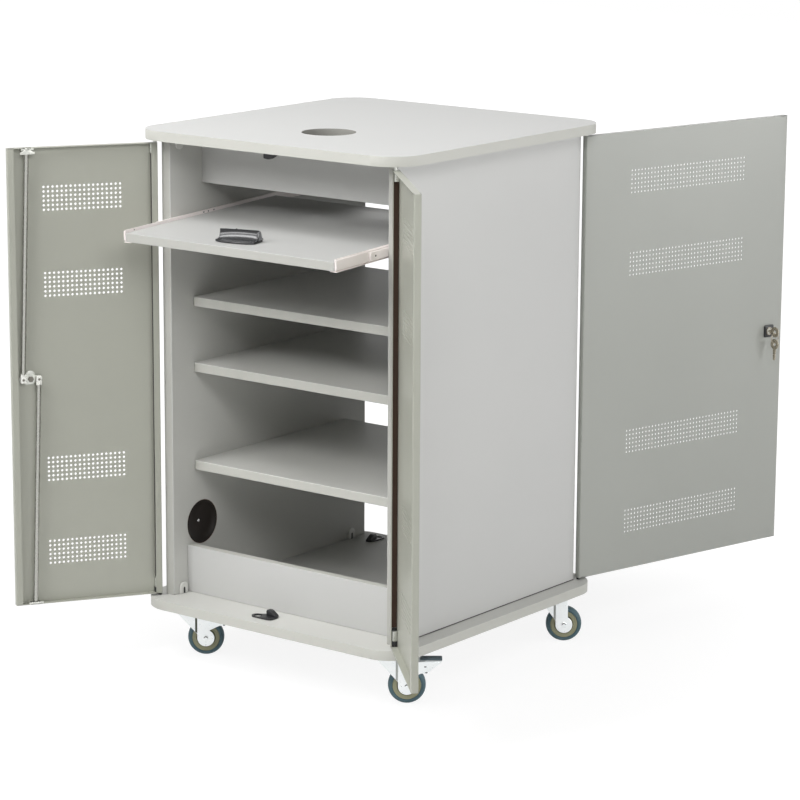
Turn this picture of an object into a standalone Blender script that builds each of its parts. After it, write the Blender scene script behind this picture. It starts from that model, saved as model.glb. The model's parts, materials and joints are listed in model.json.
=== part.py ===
"""Multimedia cart: a lockable equipment cabinet on casters with a pull-out shelf.

Metres, +Z up, +X to the right seen from the front, +Y to the back.  The doors stand
open and the pull-out shelf is drawn out.
"""
import math

import bmesh
import bpy
from mathutils import Matrix, Vector

# Gap kept between pieces that touch
SEAT_GAP = 0.0003

# Boards and panels
BOARD_WIDTH = 0.678
BOARD_DEPTH = 0.702
BOARD_THICKNESS = 0.020
BOARD_CORNER_RADIUS = 0.071
CLEAR_HEIGHT = 0.9466
CASTER_HEIGHT = 0.1095
PANEL_THICKNESS = 0.022
PANEL_SIDE_INSET = 0.040
PANEL_FRONT_SETBACK = 0.047
LEFT_PANEL_REAR_SETBACK = 0.022
RIGHT_PANEL_REAR_SETBACK = 0.044
CABLE_HOLE_RADIUS = 0.0545
CABLE_HOLE_FROM_FRONT = 0.210

# Shelves and cross pieces
SHELF_THICKNESS = 0.019
SHELF_FRONT_SETBACK = 0.111
SHELF_REAR_SETBACK = 0.093
SHELF_TOPS = {"shelf_upper": 0.6165, "shelf_middle": 0.4800, "shelf_lower": 0.2745}
CROSS_PIECE_THICKNESS = 0.018
TOP_RAIL_HEIGHT = 0.099
TOP_RAIL_SETBACK = 0.144
KICK_PANEL_HEIGHT = 0.099
KICK_PANEL_SETBACK = 0.089

# Cable grommet in the left panel
GROMMET_RADIUS = 0.0425
GROMMET_FLANGE_WIDTH = 0.003
GROMMET_FLANGE_THICKNESS = 0.0012
GROMMET_DEPTH = 0.009
GROMMET_WALL = 0.002
GROMMET_CLEARANCE = 0.0006
GROMMET_PIP_RADIUS = 0.004
GROMMET_PIP_HEIGHT = 0.0015
GROMMET_FROM_FRONT = 0.135
GROMMET_ABOVE_BASE = 0.140

# Doors: folded sheet trays on pivot pins
DOOR_SHEET = 0.0012
DOOR_THICKNESS = 0.014
DOOR_LIP = 0.0135
DOOR_GAP_BOTTOM = 0.0045
DOOR_GAP_TOP = 0.0085
PIVOT_INSET = 0.035
PIVOT_SETBACK = 0.033
PIVOT_FROM_HINGE_EDGE = 0.0045
PIVOT_BEHIND_SKIN = 0.0085
DOOR_MEETING_GAP = 0.004
REAR_DOOR_EDGE_GAP = 0.0105
LEFT_DOOR_OPEN = 122.8
RIGHT_DOOR_OPEN = 135.1
REAR_DOOR_OPEN = 104.1
PIVOT_PIN_RADIUS = 0.00275
PIVOT_PIN_DEPTH = 0.006
PIVOT_RUNNING_GAP = 0.00025
PIVOT_COLLAR_RADIUS = 0.004
PIVOT_TOP_COLLAR = 0.002
PIVOT_BRACKET_LENGTH = 0.015
PIVOT_BRACKET_HEIGHT = 0.020

# Espagnolette locks on the front left and rear doors
LOCK_FROM_FREE_EDGE = 0.040
ESCUTCHEON_SIZE = 0.026
ESCUTCHEON_THICKNESS = 0.004
LOCK_BARREL_RADIUS = 0.009
LOCK_BARREL_DEPTH = 0.004
LOCK_BARREL_CLEARANCE = 0.0006
LOCK_PLUG_RADIUS = 0.006
LOCK_PLUG_PROUD = 0.0005
CAM_PLATE_THICKNESS = 0.0022
CAM_END_RADIUS = 0.007
CAM_THROW = 0.016
CAM_PIN_RADIUS = 0.0025
ROD_RADIUS = 0.0045
ROD_EYE_RADIUS = 0.006
ROD_EYE_THICKNESS = 0.006
ROD_RUNNING_GAP = 0.0004
ROD_END_INSIDE_DOOR = 0.001
ROD_SWAY = 0.0047
ROD_HOLE_CLEARANCE = 0.0038
ROD_REACH_CLEARANCE = 0.003
GUIDE_THICKNESS = 0.003
GUIDE_WALL = 0.0035

# Keeps that the rods drop into
KEEP_THICKNESS = 0.003
KEEP_LOBE = 0.014
KEEP_LENGTH = 0.054
KEEP_HALF_DEPTH = 0.0105
KEEP_KNOB_HEIGHT = 0.015
KEEP_KNOB_START = 0.0135
KEEP_KNOB_LENGTH = 0.026
KEEP_KNOB_DEPTH = 0.012
KEEP_KNOB_FLAT = 0.4
KEEP_KNOB_SHOULDER = 0.85
KEEP_KNOB_MARGIN = 0.001
KEEP_STOP_GAP = 0.006

# Keys
KEY_BOW_RADIUS = 0.0115
KEY_BOW_HOLE_RADIUS = 0.004
KEY_THICKNESS = 0.002
KEY_BLADE_WIDTH = 0.0075
KEY_NECK_LENGTH = 0.005
KEY_BLADE_LENGTH = 0.024
KEY_RING_RADIUS = 0.0105
KEY_RING_WIRE = 0.0009

# Pull-out shelf and its three-part runners
PULL_OUT_BELOW_TOP = 0.1706
PULL_OUT_REACH = 0.1005
PULL_OUT_DEPTH = 0.460
PULL_OUT_THICKNESS = 0.018
PULL_OUT_PITCH = 2.6
RUNNER_SPACE = 0.01325
RUNNER_SHEET = 0.0012
RUNNER_GAP = 0.0004
RUNNER_RAIL_DEPTH = 0.0035
RUNNER_RAIL_HEIGHT = 0.019
RUNNER_RAIL_ABOVE_SHELF = 0.0035
RUNNER_WEB_ABOVE_SHELF = 0.0045
RUNNER_MIDDLE_RAIL_HEIGHT = 0.016
RUNNER_FLANGE_UNDER_SHELF = 0.012
RUNNER_MIDDLE_START = 0.097
RUNNER_MIDDLE_LENGTH = 0.380
RUNNER_CABINET_START = 0.262
RUNNER_CABINET_LENGTH = 0.400
HANDLE_WIDTH = 0.0914
HANDLE_OFF_CENTRE = -0.0156
HANDLE_FROM_FRONT = 0.0488
HANDLE_TURN = 8.2
HANDLE_BULGE = 0.020
HANDLE_END_BULGE = 0.0125
HANDLE_BACK = 0.023
HANDLE_HEIGHT = 0.023
HANDLE_BASE_THICKNESS = 0.004
HANDLE_GRIP_THICKNESS = 0.0055
HANDLE_GRIP_SETBACK = 0.0085
HANDLE_CHEEK_WIDTH = 0.006
HANDLE_CHEEK_HEIGHT = 0.019

# Casters
CASTER_INSET_X = 0.077
CASTER_INSET_Y = 0.080
CASTER_TRAIL = 0.032
CASTER_HEADING = 37.6
CASTER_PLATE_SIZE = 0.062
CASTER_PLATE_THICKNESS = 0.0025
CASTER_RACE_RADIUS = 0.021
CASTER_RACE_HEIGHT = 0.0055
KINGPIN_RADIUS = 0.005
KINGPIN_HEAD_RADIUS = 0.008
KINGPIN_HEAD_HEIGHT = 0.003
FORK_SHEET = 0.0025
FORK_CROWN_BACK = 0.024
FORK_CROWN_FRONT = 0.040
FORK_END_RADIUS = 0.018
FORK_WING_REACH = 0.100
FORK_WING_BELOW_CROWN = 0.0104
FORK_WING_TIP = 0.002
FORK_WING_FLAT_START = 0.0596
FORK_WING_FLAT_END = 0.0715
FORK_WING_ABOVE_AXLE = 0.0262
FORK_WING_ROOT_ABOVE_AXLE = 0.0168
FORK_WHEEL_GAP = 0.001
WHEEL_RADIUS = 0.0375
WHEEL_WIDTH = 0.024
TYRE_CROWN_SHARE = 0.45
HUB_RADIUS = 0.0282
HUB_WIDTH = 0.026
HUB_BOSS_RADIUS = 0.011
HUB_RIM_THICKNESS = 0.005
HUB_WEB_THICKNESS = 0.012
AXLE_RADIUS = 0.004
AXLE_HEAD_RADIUS = 0.0065
AXLE_HEAD_HEIGHT = 0.0025
AXLE_RUNNING_GAP = 0.0003
BRAKE_PIVOT_FORWARD = 0.020
BRAKE_PIVOT_DROP = 0.013
BRAKE_PIVOT_RADIUS = 0.0028
BRAKE_WIDTH = 0.018
BRAKE_CHEEK = 0.002
BRAKE_REACH = 0.1015
BRAKE_TREAD_LENGTH = 0.044
BRAKE_TREAD_HEIGHT = 0.0045
BRAKE_TREAD_WIDTH = 0.020
BRAKE_SHOE_GAP = 0.0005
BRAKE_SHOE_ANGLE = 44.0
BRAKE_SHOE_LENGTH = 0.010
BRAKED_CASTERS = ("front_left", "front_right")

# Facets round the turned pieces
ROUND_STEPS = 24
SMALL_ROUND_STEPS = 12
HOLE_STEPS = 12
CORNER_STEPS = 6

# Levels and faces that follow from the sizes above
BASE_TOP = CASTER_HEIGHT + BOARD_THICKNESS
TOP_UNDER = BASE_TOP + CLEAR_HEIGHT
HALF_WIDTH = BOARD_WIDTH / 2
HALF_DEPTH = BOARD_DEPTH / 2
PANEL_OUTER = HALF_WIDTH - PANEL_SIDE_INSET
PANEL_INNER = PANEL_OUTER - PANEL_THICKNESS
PANEL_FRONT = -HALF_DEPTH + PANEL_FRONT_SETBACK
SHELF_FRONT = -HALF_DEPTH + SHELF_FRONT_SETBACK
SHELF_REAR = HALF_DEPTH - SHELF_REAR_SETBACK
KICK_PANEL_FRONT = -HALF_DEPTH + KICK_PANEL_SETBACK
TOP_RAIL_FRONT = -HALF_DEPTH + TOP_RAIL_SETBACK
PIVOT_X = HALF_WIDTH - PIVOT_INSET
PIVOT_Y = HALF_DEPTH - PIVOT_SETBACK
DOOR_BOTTOM = BASE_TOP + DOOR_GAP_BOTTOM
DOOR_TOP = TOP_UNDER - DOOR_GAP_TOP
DOOR_MIDDLE = (DOOR_BOTTOM + DOOR_TOP) / 2
FRONT_DOOR_WIDTH = PIVOT_X + PIVOT_FROM_HINGE_EDGE - DOOR_MEETING_GAP / 2
REAR_DOOR_WIDTH = PIVOT_X + PIVOT_FROM_HINGE_EDGE + PANEL_INNER - REAR_DOOR_EDGE_GAP
CAM_FRONT = LOCK_BARREL_DEPTH + ROD_RUNNING_GAP
CAM_BACK = CAM_FRONT + CAM_PLATE_THICKNESS
ROD_DEPTH = CAM_BACK + ROD_RUNNING_GAP + max(ROD_RADIUS, ROD_EYE_THICKNESS / 2)
ROD_LENGTH = (DOOR_TOP - DOOR_BOTTOM) / 2 - ROD_END_INSIDE_DOOR
ROD_LEAN = math.atan2(CAM_THROW, ROD_LENGTH)
ROD_REACH = CAM_THROW + ROD_REACH_CLEARANCE
KEEP_BEHIND_SKIN = DOOR_THICKNESS + KEEP_STOP_GAP
PULL_OUT_HALF = PANEL_INNER - RUNNER_SPACE


def clear_scene():
    for obj in list(bpy.data.objects):
        bpy.data.objects.remove(obj, do_unlink=True)


clear_scene()
scene = bpy.context.scene
parts = bpy.data.collections.new("multimedia_cart")
cutters = bpy.data.collections.new("cutters")
scene.collection.children.link(parts)
scene.collection.children.link(cutters)


def finish(name, colour, roughness, metallic=0.0):
    material = bpy.data.materials.new(name)
    material.use_nodes = True
    shader = material.node_tree.nodes["Principled BSDF"]
    shader.inputs["Base Color"].default_value = (*colour, 1.0)
    shader.inputs["Roughness"].default_value = roughness
    shader.inputs["Metallic"].default_value = metallic
    material.diffuse_color = (*colour, 1.0)
    return material


GREY_LAMINATE = finish("grey_laminate", (0.72, 0.72, 0.70), 0.45)
DOOR_PAINT = finish("door_paint", (0.46, 0.47, 0.41), 0.35)
RUNNER_WHITE = finish("runner_white", (0.80, 0.76, 0.74), 0.40)
BLACK_PLASTIC = finish("black_plastic", (0.03, 0.032, 0.035), 0.35)
ZINC = finish("zinc", (0.75, 0.78, 0.80), 0.30, 0.9)
STEEL = finish("steel", (0.60, 0.60, 0.60), 0.30, 1.0)
TYRE_RUBBER = finish("tyre_rubber", (0.07, 0.12, 0.14), 0.60)
HUB_NYLON = finish("hub_nylon", (0.24, 0.24, 0.15), 0.50)
TREAD_GREY = finish("tread_grey", (0.16, 0.18, 0.18), 0.60)


# Mesh helpers

def from_bmesh(bm):
    mesh = bpy.data.meshes.new("shape")
    bm.to_mesh(mesh)
    bm.free()
    return mesh


def box(low, high):
    low = Vector(low)
    high = Vector(high)
    size = high - low
    matrix = Matrix.Translation((low + high) / 2) @ Matrix.Diagonal((*size, 1.0))
    bm = bmesh.new()
    bmesh.ops.create_cube(bm, size=1.0, matrix=matrix)
    return from_bmesh(bm)


def span(a, b, c):
    """A box from three (start, end) pairs given in either order."""
    return box((min(a), min(b), min(c)), (max(a), max(b), max(c)))


def cylinder(radius, start, end, steps=HOLE_STEPS):
    """A cylinder between two points."""
    start = Vector(start)
    end = Vector(end)
    turn = (end - start).to_track_quat("Z", "Y").to_matrix().to_4x4()
    matrix = Matrix.Translation((start + end) / 2) @ turn
    bm = bmesh.new()
    bmesh.ops.create_cone(bm, cap_ends=True, segments=steps, radius1=radius, radius2=radius,
                          depth=(end - start).length, matrix=matrix)
    return from_bmesh(bm)


def evaluated(obj):
    """The object's evaluated mesh, welded; the object itself is removed."""
    scene.collection.objects.link(obj)
    graph = bpy.context.evaluated_depsgraph_get()
    mesh = bpy.data.meshes.new_from_object(obj.evaluated_get(graph))
    bpy.data.objects.remove(obj, do_unlink=True)
    bm = bmesh.new()
    bm.from_mesh(mesh)
    bmesh.ops.remove_doubles(bm, verts=bm.verts, dist=1e-6)
    bmesh.ops.recalc_face_normals(bm, faces=bm.faces)
    bm.to_mesh(mesh)
    bm.free()
    return mesh


def slab(points, thickness):
    """A flat outline in XY, given its thickness equally either side of the plane."""
    curve = bpy.data.curves.new("outline", "CURVE")
    curve.dimensions = "2D"
    curve.fill_mode = "BOTH"
    curve.extrude = thickness / 2
    spline = curve.splines.new("POLY")
    spline.points.add(len(points) - 1)
    for point, (x, y) in zip(spline.points, points):
        point.co = (x, y, 0.0, 1.0)
    spline.use_cyclic_u = True
    return evaluated(bpy.data.objects.new("outline", curve))


def turned(profile, steps=ROUND_STEPS, closed=False):
    """A profile of (radius, height) pairs turned about Z."""
    mesh = bpy.data.meshes.new("profile")
    edges = [(i, i + 1) for i in range(len(profile) - 1)]
    if closed:
        edges.append((len(profile) - 1, 0))
    mesh.from_pydata([(r, 0.0, z) for r, z in profile], edges, [])
    obj = bpy.data.objects.new("profile", mesh)
    screw = obj.modifiers.new("turn", "SCREW")
    screw.axis = "Z"
    screw.steps = steps
    screw.render_steps = steps
    screw.use_merge_vertices = True
    screw.merge_threshold = 1e-6
    return evaluated(obj)


def moved(mesh, *matrices):
    for matrix in matrices:
        mesh.transform(matrix)
    return mesh


def grouped(meshes):
    """Separate bodies kept in one mesh."""
    bm = bmesh.new()
    for mesh in meshes:
        bm.from_mesh(mesh)
    return from_bmesh(bm)


def arc(centre, radius, start, end, steps):
    cx, cy = centre
    turns = [math.radians(start + (end - start) * i / steps) for i in range(steps + 1)]
    return [(cx + radius * math.cos(a), cy + radius * math.sin(a)) for a in turns]


def rounded_rectangle(width, depth, radius, steps=CORNER_STEPS):
    x = width / 2 - radius
    y = depth / 2 - radius
    return (arc((x, y), radius, 0, 90, steps) + arc((-x, y), radius, 90, 180, steps)
            + arc((-x, -y), radius, 180, 270, steps) + arc((x, -y), radius, 270, 360, steps))


TO_XZ = Matrix.Rotation(math.radians(90), 4, "X")
TO_YZ = Matrix(((0, 0, 1, 0), (1, 0, 0, 0), (0, 1, 0, 0), (0, 0, 0, 1)))


def at(x, y, z):
    return Matrix.Translation((x, y, z))


# Object helpers

def empty(name, parent, location, turn=(0.0, 0.0, 0.0)):
    obj = bpy.data.objects.new(name, None)
    obj.empty_display_size = 0.05
    obj.location = location
    obj.rotation_euler = [math.radians(a) for a in turn]
    obj.parent = parent
    parts.objects.link(obj)
    return obj


def part(name, mesh, material, parent, smooth=False):
    mesh.name = name
    mesh.materials.clear()
    mesh.materials.append(material)
    if smooth:
        mesh.shade_smooth()
        mesh.set_sharp_from_angle(angle=math.radians(35))
    obj = bpy.data.objects.new(name, mesh)
    obj.parent = parent
    parts.objects.link(obj)
    return obj


def combine(obj, mesh, operation):
    tool = bpy.data.objects.new(obj.name + "_" + operation.lower(), mesh)
    tool.parent = obj.parent
    tool.hide_render = True
    tool.display_type = "WIRE"
    cutters.objects.link(tool)
    modifier = obj.modifiers.new(operation.lower(), "BOOLEAN")
    modifier.operation = operation
    modifier.solver = "EXACT"
    modifier.object = tool
    return obj


def cut(obj, *meshes):
    return combine(obj, grouped(meshes), "DIFFERENCE")


def fuse(obj, *meshes):
    return combine(obj, grouped(meshes), "UNION")


cart = empty("cart", None, (0.0, 0.0, 0.0))


class Door:
    """Places on a door: s runs from the hinge edge, t in from the outer skin."""

    def __init__(self, name, pivot, width, opened, toward, inward):
        self.name = name
        self.width = width
        self.toward = toward
        self.inward = inward
        self.pivot = pivot
        self.axis = empty(name + "_pivot", cart, (*pivot, 0.0), (0.0, 0.0, opened))

    def x(self, s):
        return self.toward * (s - PIVOT_FROM_HINGE_EDGE)

    def y(self, t):
        return self.inward * (t - PIVOT_BEHIND_SKIN)

    def point(self, s, t, z):
        return (self.x(s), self.y(t), z)

    def span(self, s, t, z):
        return span([self.x(v) for v in s], [self.y(v) for v in t], z)

    def closed(self, s, t):
        """The place in plan when the door is shut."""
        return (self.pivot[0] + self.x(s), self.pivot[1] + self.y(t))

    @property
    def lock(self):
        return self.width - LOCK_FROM_FREE_EDGE

    def along_depth(self):
        """Turns +Z so that it runs in from the outer skin."""
        return Matrix.Rotation(math.radians(-90 * self.inward), 4, "X")


left_door = Door("front_door_left", (-PIVOT_X, -PIVOT_Y), FRONT_DOOR_WIDTH, -LEFT_DOOR_OPEN, 1, 1)
right_door = Door("front_door_right", (PIVOT_X, -PIVOT_Y), FRONT_DOOR_WIDTH, RIGHT_DOOR_OPEN, -1, 1)
rear_door = Door("rear_door", (PIVOT_X, PIVOT_Y), REAR_DOOR_WIDTH, -REAR_DOOR_OPEN, -1, -1)
DOORS = (left_door, right_door, rear_door)
LOCKED_DOORS = (left_door, rear_door)

CASTERS = {
    "front_left": (-HALF_WIDTH + CASTER_INSET_X, -HALF_DEPTH + CASTER_INSET_Y),
    "front_right": (HALF_WIDTH - CASTER_INSET_X, -HALF_DEPTH + CASTER_INSET_Y),
    "rear_left": (-HALF_WIDTH + CASTER_INSET_X, HALF_DEPTH - CASTER_INSET_Y),
    "rear_right": (HALF_WIDTH - CASTER_INSET_X, HALF_DEPTH - CASTER_INSET_Y),
}


def board_sockets(level, into, reach):
    """Blind holes in a board for the door pivots and the lock rods."""
    holes = []
    for door in DOORS:
        x, y = door.pivot
        holes.append(cylinder(PIVOT_PIN_RADIUS + PIVOT_RUNNING_GAP, (x, y, level - into * SEAT_GAP),
                              (x, y, level + into * (PIVOT_PIN_DEPTH + SEAT_GAP)), SMALL_ROUND_STEPS))
    for door in LOCKED_DOORS:
        x, y = door.closed(door.lock, ROD_DEPTH)
        holes.append(cylinder(ROD_RADIUS + ROD_HOLE_CLEARANCE, (x, y, level - into * SEAT_GAP),
                              (x, y, level + into * reach), SMALL_ROUND_STEPS))
    return holes


def make_boards():
    outline = rounded_rectangle(BOARD_WIDTH, BOARD_DEPTH, BOARD_CORNER_RADIUS)
    half = BOARD_THICKNESS / 2
    top = part("top_board", moved(slab(outline, BOARD_THICKNESS), at(0, 0, TOP_UNDER + half)),
               GREY_LAMINATE, cart)
    hole_y = -HALF_DEPTH + CABLE_HOLE_FROM_FRONT
    cable_hole = cylinder(CABLE_HOLE_RADIUS, (0, hole_y, TOP_UNDER - half),
                          (0, hole_y, TOP_UNDER + BOARD_THICKNESS + half), ROUND_STEPS)
    cut(top, cable_hole, *board_sockets(TOP_UNDER, 1, ROD_REACH - DOOR_GAP_TOP))
    base = part("base_board", moved(slab(outline, BOARD_THICKNESS), at(0, 0, CASTER_HEIGHT + half)),
                GREY_LAMINATE, cart)
    cut(base, *board_sockets(BASE_TOP, -1, ROD_REACH - DOOR_GAP_BOTTOM))


def make_panels():
    for name, side, setback in (("side_panel_left", -1, LEFT_PANEL_REAR_SETBACK),
                                ("side_panel_right", 1, RIGHT_PANEL_REAR_SETBACK)):
        panel = part(name, span((side * PANEL_INNER, side * PANEL_OUTER), (PANEL_FRONT, HALF_DEPTH - setback),
                                (BASE_TOP + SEAT_GAP, TOP_UNDER - SEAT_GAP)), GREY_LAMINATE, cart)
        if side < 0:
            y = -HALF_DEPTH + GROMMET_FROM_FRONT
            z = BASE_TOP + GROMMET_ABOVE_BASE
            cut(panel, cylinder(GROMMET_RADIUS + GROMMET_CLEARANCE, (-PANEL_INNER + SEAT_GAP, y, z),
                                (-PANEL_OUTER - SEAT_GAP, y, z), ROUND_STEPS))


def make_shelves():
    half = PANEL_INNER - SEAT_GAP
    for name, top in SHELF_TOPS.items():
        level = BASE_TOP + top
        part(name, box((-half, SHELF_FRONT, level - SHELF_THICKNESS), (half, SHELF_REAR, level)),
             GREY_LAMINATE, cart)
    rear = KICK_PANEL_FRONT + CROSS_PIECE_THICKNESS
    part("kick_panel", box((-half, KICK_PANEL_FRONT, BASE_TOP + SEAT_GAP),
                           (half, rear, BASE_TOP + KICK_PANEL_HEIGHT)), GREY_LAMINATE, cart)
    rear = TOP_RAIL_FRONT + CROSS_PIECE_THICKNESS
    part("top_rail", box((-half, TOP_RAIL_FRONT, TOP_UNDER - TOP_RAIL_HEIGHT),
                         (half, rear, TOP_UNDER - SEAT_GAP)), GREY_LAMINATE, cart)


def make_grommet():
    """A shallow cup let into the panel, with a screw head in its floor."""
    flange = GROMMET_RADIUS + GROMMET_FLANGE_WIDTH
    face = SEAT_GAP + GROMMET_FLANGE_THICKNESS
    inner = GROMMET_RADIUS - GROMMET_WALL
    floor = -GROMMET_DEPTH
    under = floor - GROMMET_WALL
    profile = [(0, floor + GROMMET_PIP_HEIGHT), (GROMMET_PIP_RADIUS, floor + GROMMET_PIP_HEIGHT),
               (GROMMET_PIP_RADIUS, floor), (inner, floor), (inner, face), (flange, face), (flange, SEAT_GAP),
               (GROMMET_RADIUS, SEAT_GAP), (GROMMET_RADIUS, under), (0, under)]
    mesh = moved(turned(profile), Matrix.Rotation(math.radians(90), 4, "Y"),
                 at(-PANEL_INNER, -HALF_DEPTH + GROMMET_FROM_FRONT, BASE_TOP + GROMMET_ABOVE_BASE))
    part("side_grommet", mesh, BLACK_PLASTIC, cart, smooth=True)


def make_keep(name, door, level, up):
    """A plate that a rod drops into, with a knob that stops the shut door.

    The front keeps lie along the door; the rear ones point into the cabinet.
    """
    x, y = door.closed(door.lock, ROD_DEPTH)
    low = level + up * SEAT_GAP
    high = low + up * KEEP_THICKNESS
    peak = low + up * KEEP_KNOB_HEIGHT
    root = low + up * KEEP_THICKNESS / 2
    along_door = door.inward > 0
    if along_door:
        origin, along = x, door.toward
        back = door.closed(door.lock, KEEP_BEHIND_SKIN)[1]
        knob_middle = back + door.inward * KEEP_KNOB_DEPTH / 2
        sides = (y - door.inward * KEEP_HALF_DEPTH, back + door.inward * (KEEP_KNOB_DEPTH + KEEP_KNOB_MARGIN))
    else:
        origin, along = y, door.inward
        knob_middle = x
        sides = (x - KEEP_HALF_DEPTH, x + KEEP_HALF_DEPTH)
    ends = (origin - along * KEEP_LOBE, origin + along * (KEEP_LENGTH - KEEP_LOBE))
    start = origin + along * KEEP_KNOB_START
    run = along * KEEP_KNOB_LENGTH
    knob = slab([(start, root), (start, peak), (start + KEEP_KNOB_FLAT * run, peak),
                 (start + KEEP_KNOB_SHOULDER * run, (peak + high) / 2), (start + run, root)],
                KEEP_KNOB_DEPTH)
    corner = KEEP_HALF_DEPTH / 2
    breadth = abs(sides[1] - sides[0])
    if along_door:
        outline = rounded_rectangle(KEEP_LENGTH, breadth, corner, 4)
        middle = (sum(ends) / 2, sum(sides) / 2)
        knob = moved(knob, TO_XZ, at(0, knob_middle, 0))
    else:
        outline = rounded_rectangle(breadth, KEEP_LENGTH, corner, 4)
        middle = (sum(sides) / 2, sum(ends) / 2)
        knob = moved(knob, TO_YZ, at(knob_middle, 0, 0))
    plate = moved(slab(outline, KEEP_THICKNESS), at(*middle, (low + high) / 2))
    keep = part(name, plate, BLACK_PLASTIC, cart)
    fuse(keep, knob)
    cut(keep, cylinder(ROD_RADIUS + ROD_HOLE_CLEARANCE, (x, y, low - up * SEAT_GAP),
                       (x, y, high + up * SEAT_GAP), SMALL_ROUND_STEPS))


# Doors and their locks

def make_door(door):
    ends = (DOOR_BOTTOM, DOOR_TOP)
    tray = part(door.name, door.span((0, door.width), (0, DOOR_THICKNESS), ends), DOOR_PAINT, door.axis)
    sheet = DOOR_SHEET
    inside = (DOOR_BOTTOM + sheet, DOOR_TOP - sheet)
    cut(tray, door.span((sheet, door.width - sheet), (sheet, DOOR_THICKNESS - sheet), inside))
    cut(tray, door.span((DOOR_LIP, door.width - DOOR_LIP), (2 * sheet, DOOR_THICKNESS + sheet), inside))
    blocks, pins = pivots(door)
    openings = []
    if door in LOCKED_DOORS:
        plates, openings = guides(door)
        blocks += plates
        openings.append(cylinder(LOCK_BARREL_RADIUS + LOCK_BARREL_CLEARANCE,
                                 door.point(door.lock, -sheet, DOOR_MIDDLE),
                                 door.point(door.lock, 2 * sheet, DOOR_MIDDLE), SMALL_ROUND_STEPS))
    fuse(tray, *blocks)
    fuse(tray, *pins)
    if openings:
        cut(tray, *openings)


def pivots(door):
    """Two pins, each with the block welded in the tray's corner that holds it."""
    wall = DOOR_SHEET / 2
    blocks = []
    pins = []
    bottom_collar = DOOR_GAP_BOTTOM - SEAT_GAP
    for edge, up, collar in ((DOOR_BOTTOM, -1, bottom_collar), (DOOR_TOP, 1, PIVOT_TOP_COLLAR)):
        inside = edge - up * wall
        blocks.append(door.span((wall, PIVOT_BRACKET_LENGTH), (wall, DOOR_THICKNESS - 2 * DOOR_SHEET),
                                (inside, inside - up * PIVOT_BRACKET_HEIGHT)))
        gap = DOOR_GAP_TOP if up > 0 else DOOR_GAP_BOTTOM
        tip = edge + up * (gap + PIVOT_PIN_DEPTH)
        seat = edge - up * DOOR_SHEET / 2
        shoulder = edge + up * collar
        root = inside - up * PIVOT_BRACKET_HEIGHT / 2
        profile = [(0, tip), (PIVOT_PIN_RADIUS, tip), (PIVOT_PIN_RADIUS, shoulder),
                   (PIVOT_COLLAR_RADIUS, shoulder), (PIVOT_COLLAR_RADIUS, seat), (PIVOT_PIN_RADIUS, seat),
                   (PIVOT_PIN_RADIUS, root), (0, root)]
        pins.append(turned(profile, SMALL_ROUND_STEPS))
    return blocks, pins


def make_lock(door, name):
    """Lock body, cam and rods of a locking door."""
    lock = door.lock
    half = ESCUTCHEON_SIZE / 2
    face = -SEAT_GAP - ESCUTCHEON_THICKNESS
    escutcheon = door.span((lock - half, lock + half), (face, -SEAT_GAP),
                           (DOOR_MIDDLE - half, DOOR_MIDDLE + half))
    body = part(name + "_lock_body", escutcheon, BLACK_PLASTIC, door.axis)
    fuse(body, cylinder(LOCK_BARREL_RADIUS, door.point(lock, face / 2, DOOR_MIDDLE),
                        door.point(lock, LOCK_BARREL_DEPTH, DOOR_MIDDLE), SMALL_ROUND_STEPS))
    cut(body, cylinder(LOCK_PLUG_RADIUS + SEAT_GAP, door.point(lock, 2 * face, DOOR_MIDDLE),
                       door.point(lock, 2 * LOCK_BARREL_DEPTH, DOOR_MIDDLE), SMALL_ROUND_STEPS))
    make_cam(door, name)


def guides(door):
    """Plates welded inside the tray's ends, with the slots that the rods run through."""
    lock = door.lock
    reach = ROD_RADIUS + ROD_SWAY
    wall = DOOR_SHEET / 2
    slot = (ROD_DEPTH - ROD_RADIUS - ROD_RUNNING_GAP, ROD_DEPTH + ROD_RADIUS + ROD_RUNNING_GAP)
    plates = []
    slots = []
    for edge, up in ((DOOR_BOTTOM, 1), (DOOR_TOP, -1)):
        near = edge + up * wall
        plates.append(door.span((lock - reach - GUIDE_WALL, lock + reach + GUIDE_WALL),
                                (wall, slot[1] + GUIDE_WALL), (near, near + up * GUIDE_THICKNESS)))
        slots.append(door.span((lock - reach, lock + reach), slot,
                               (edge - up * GUIDE_THICKNESS, near + up * 2 * GUIDE_THICKNESS)))
    return plates, slots


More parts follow.
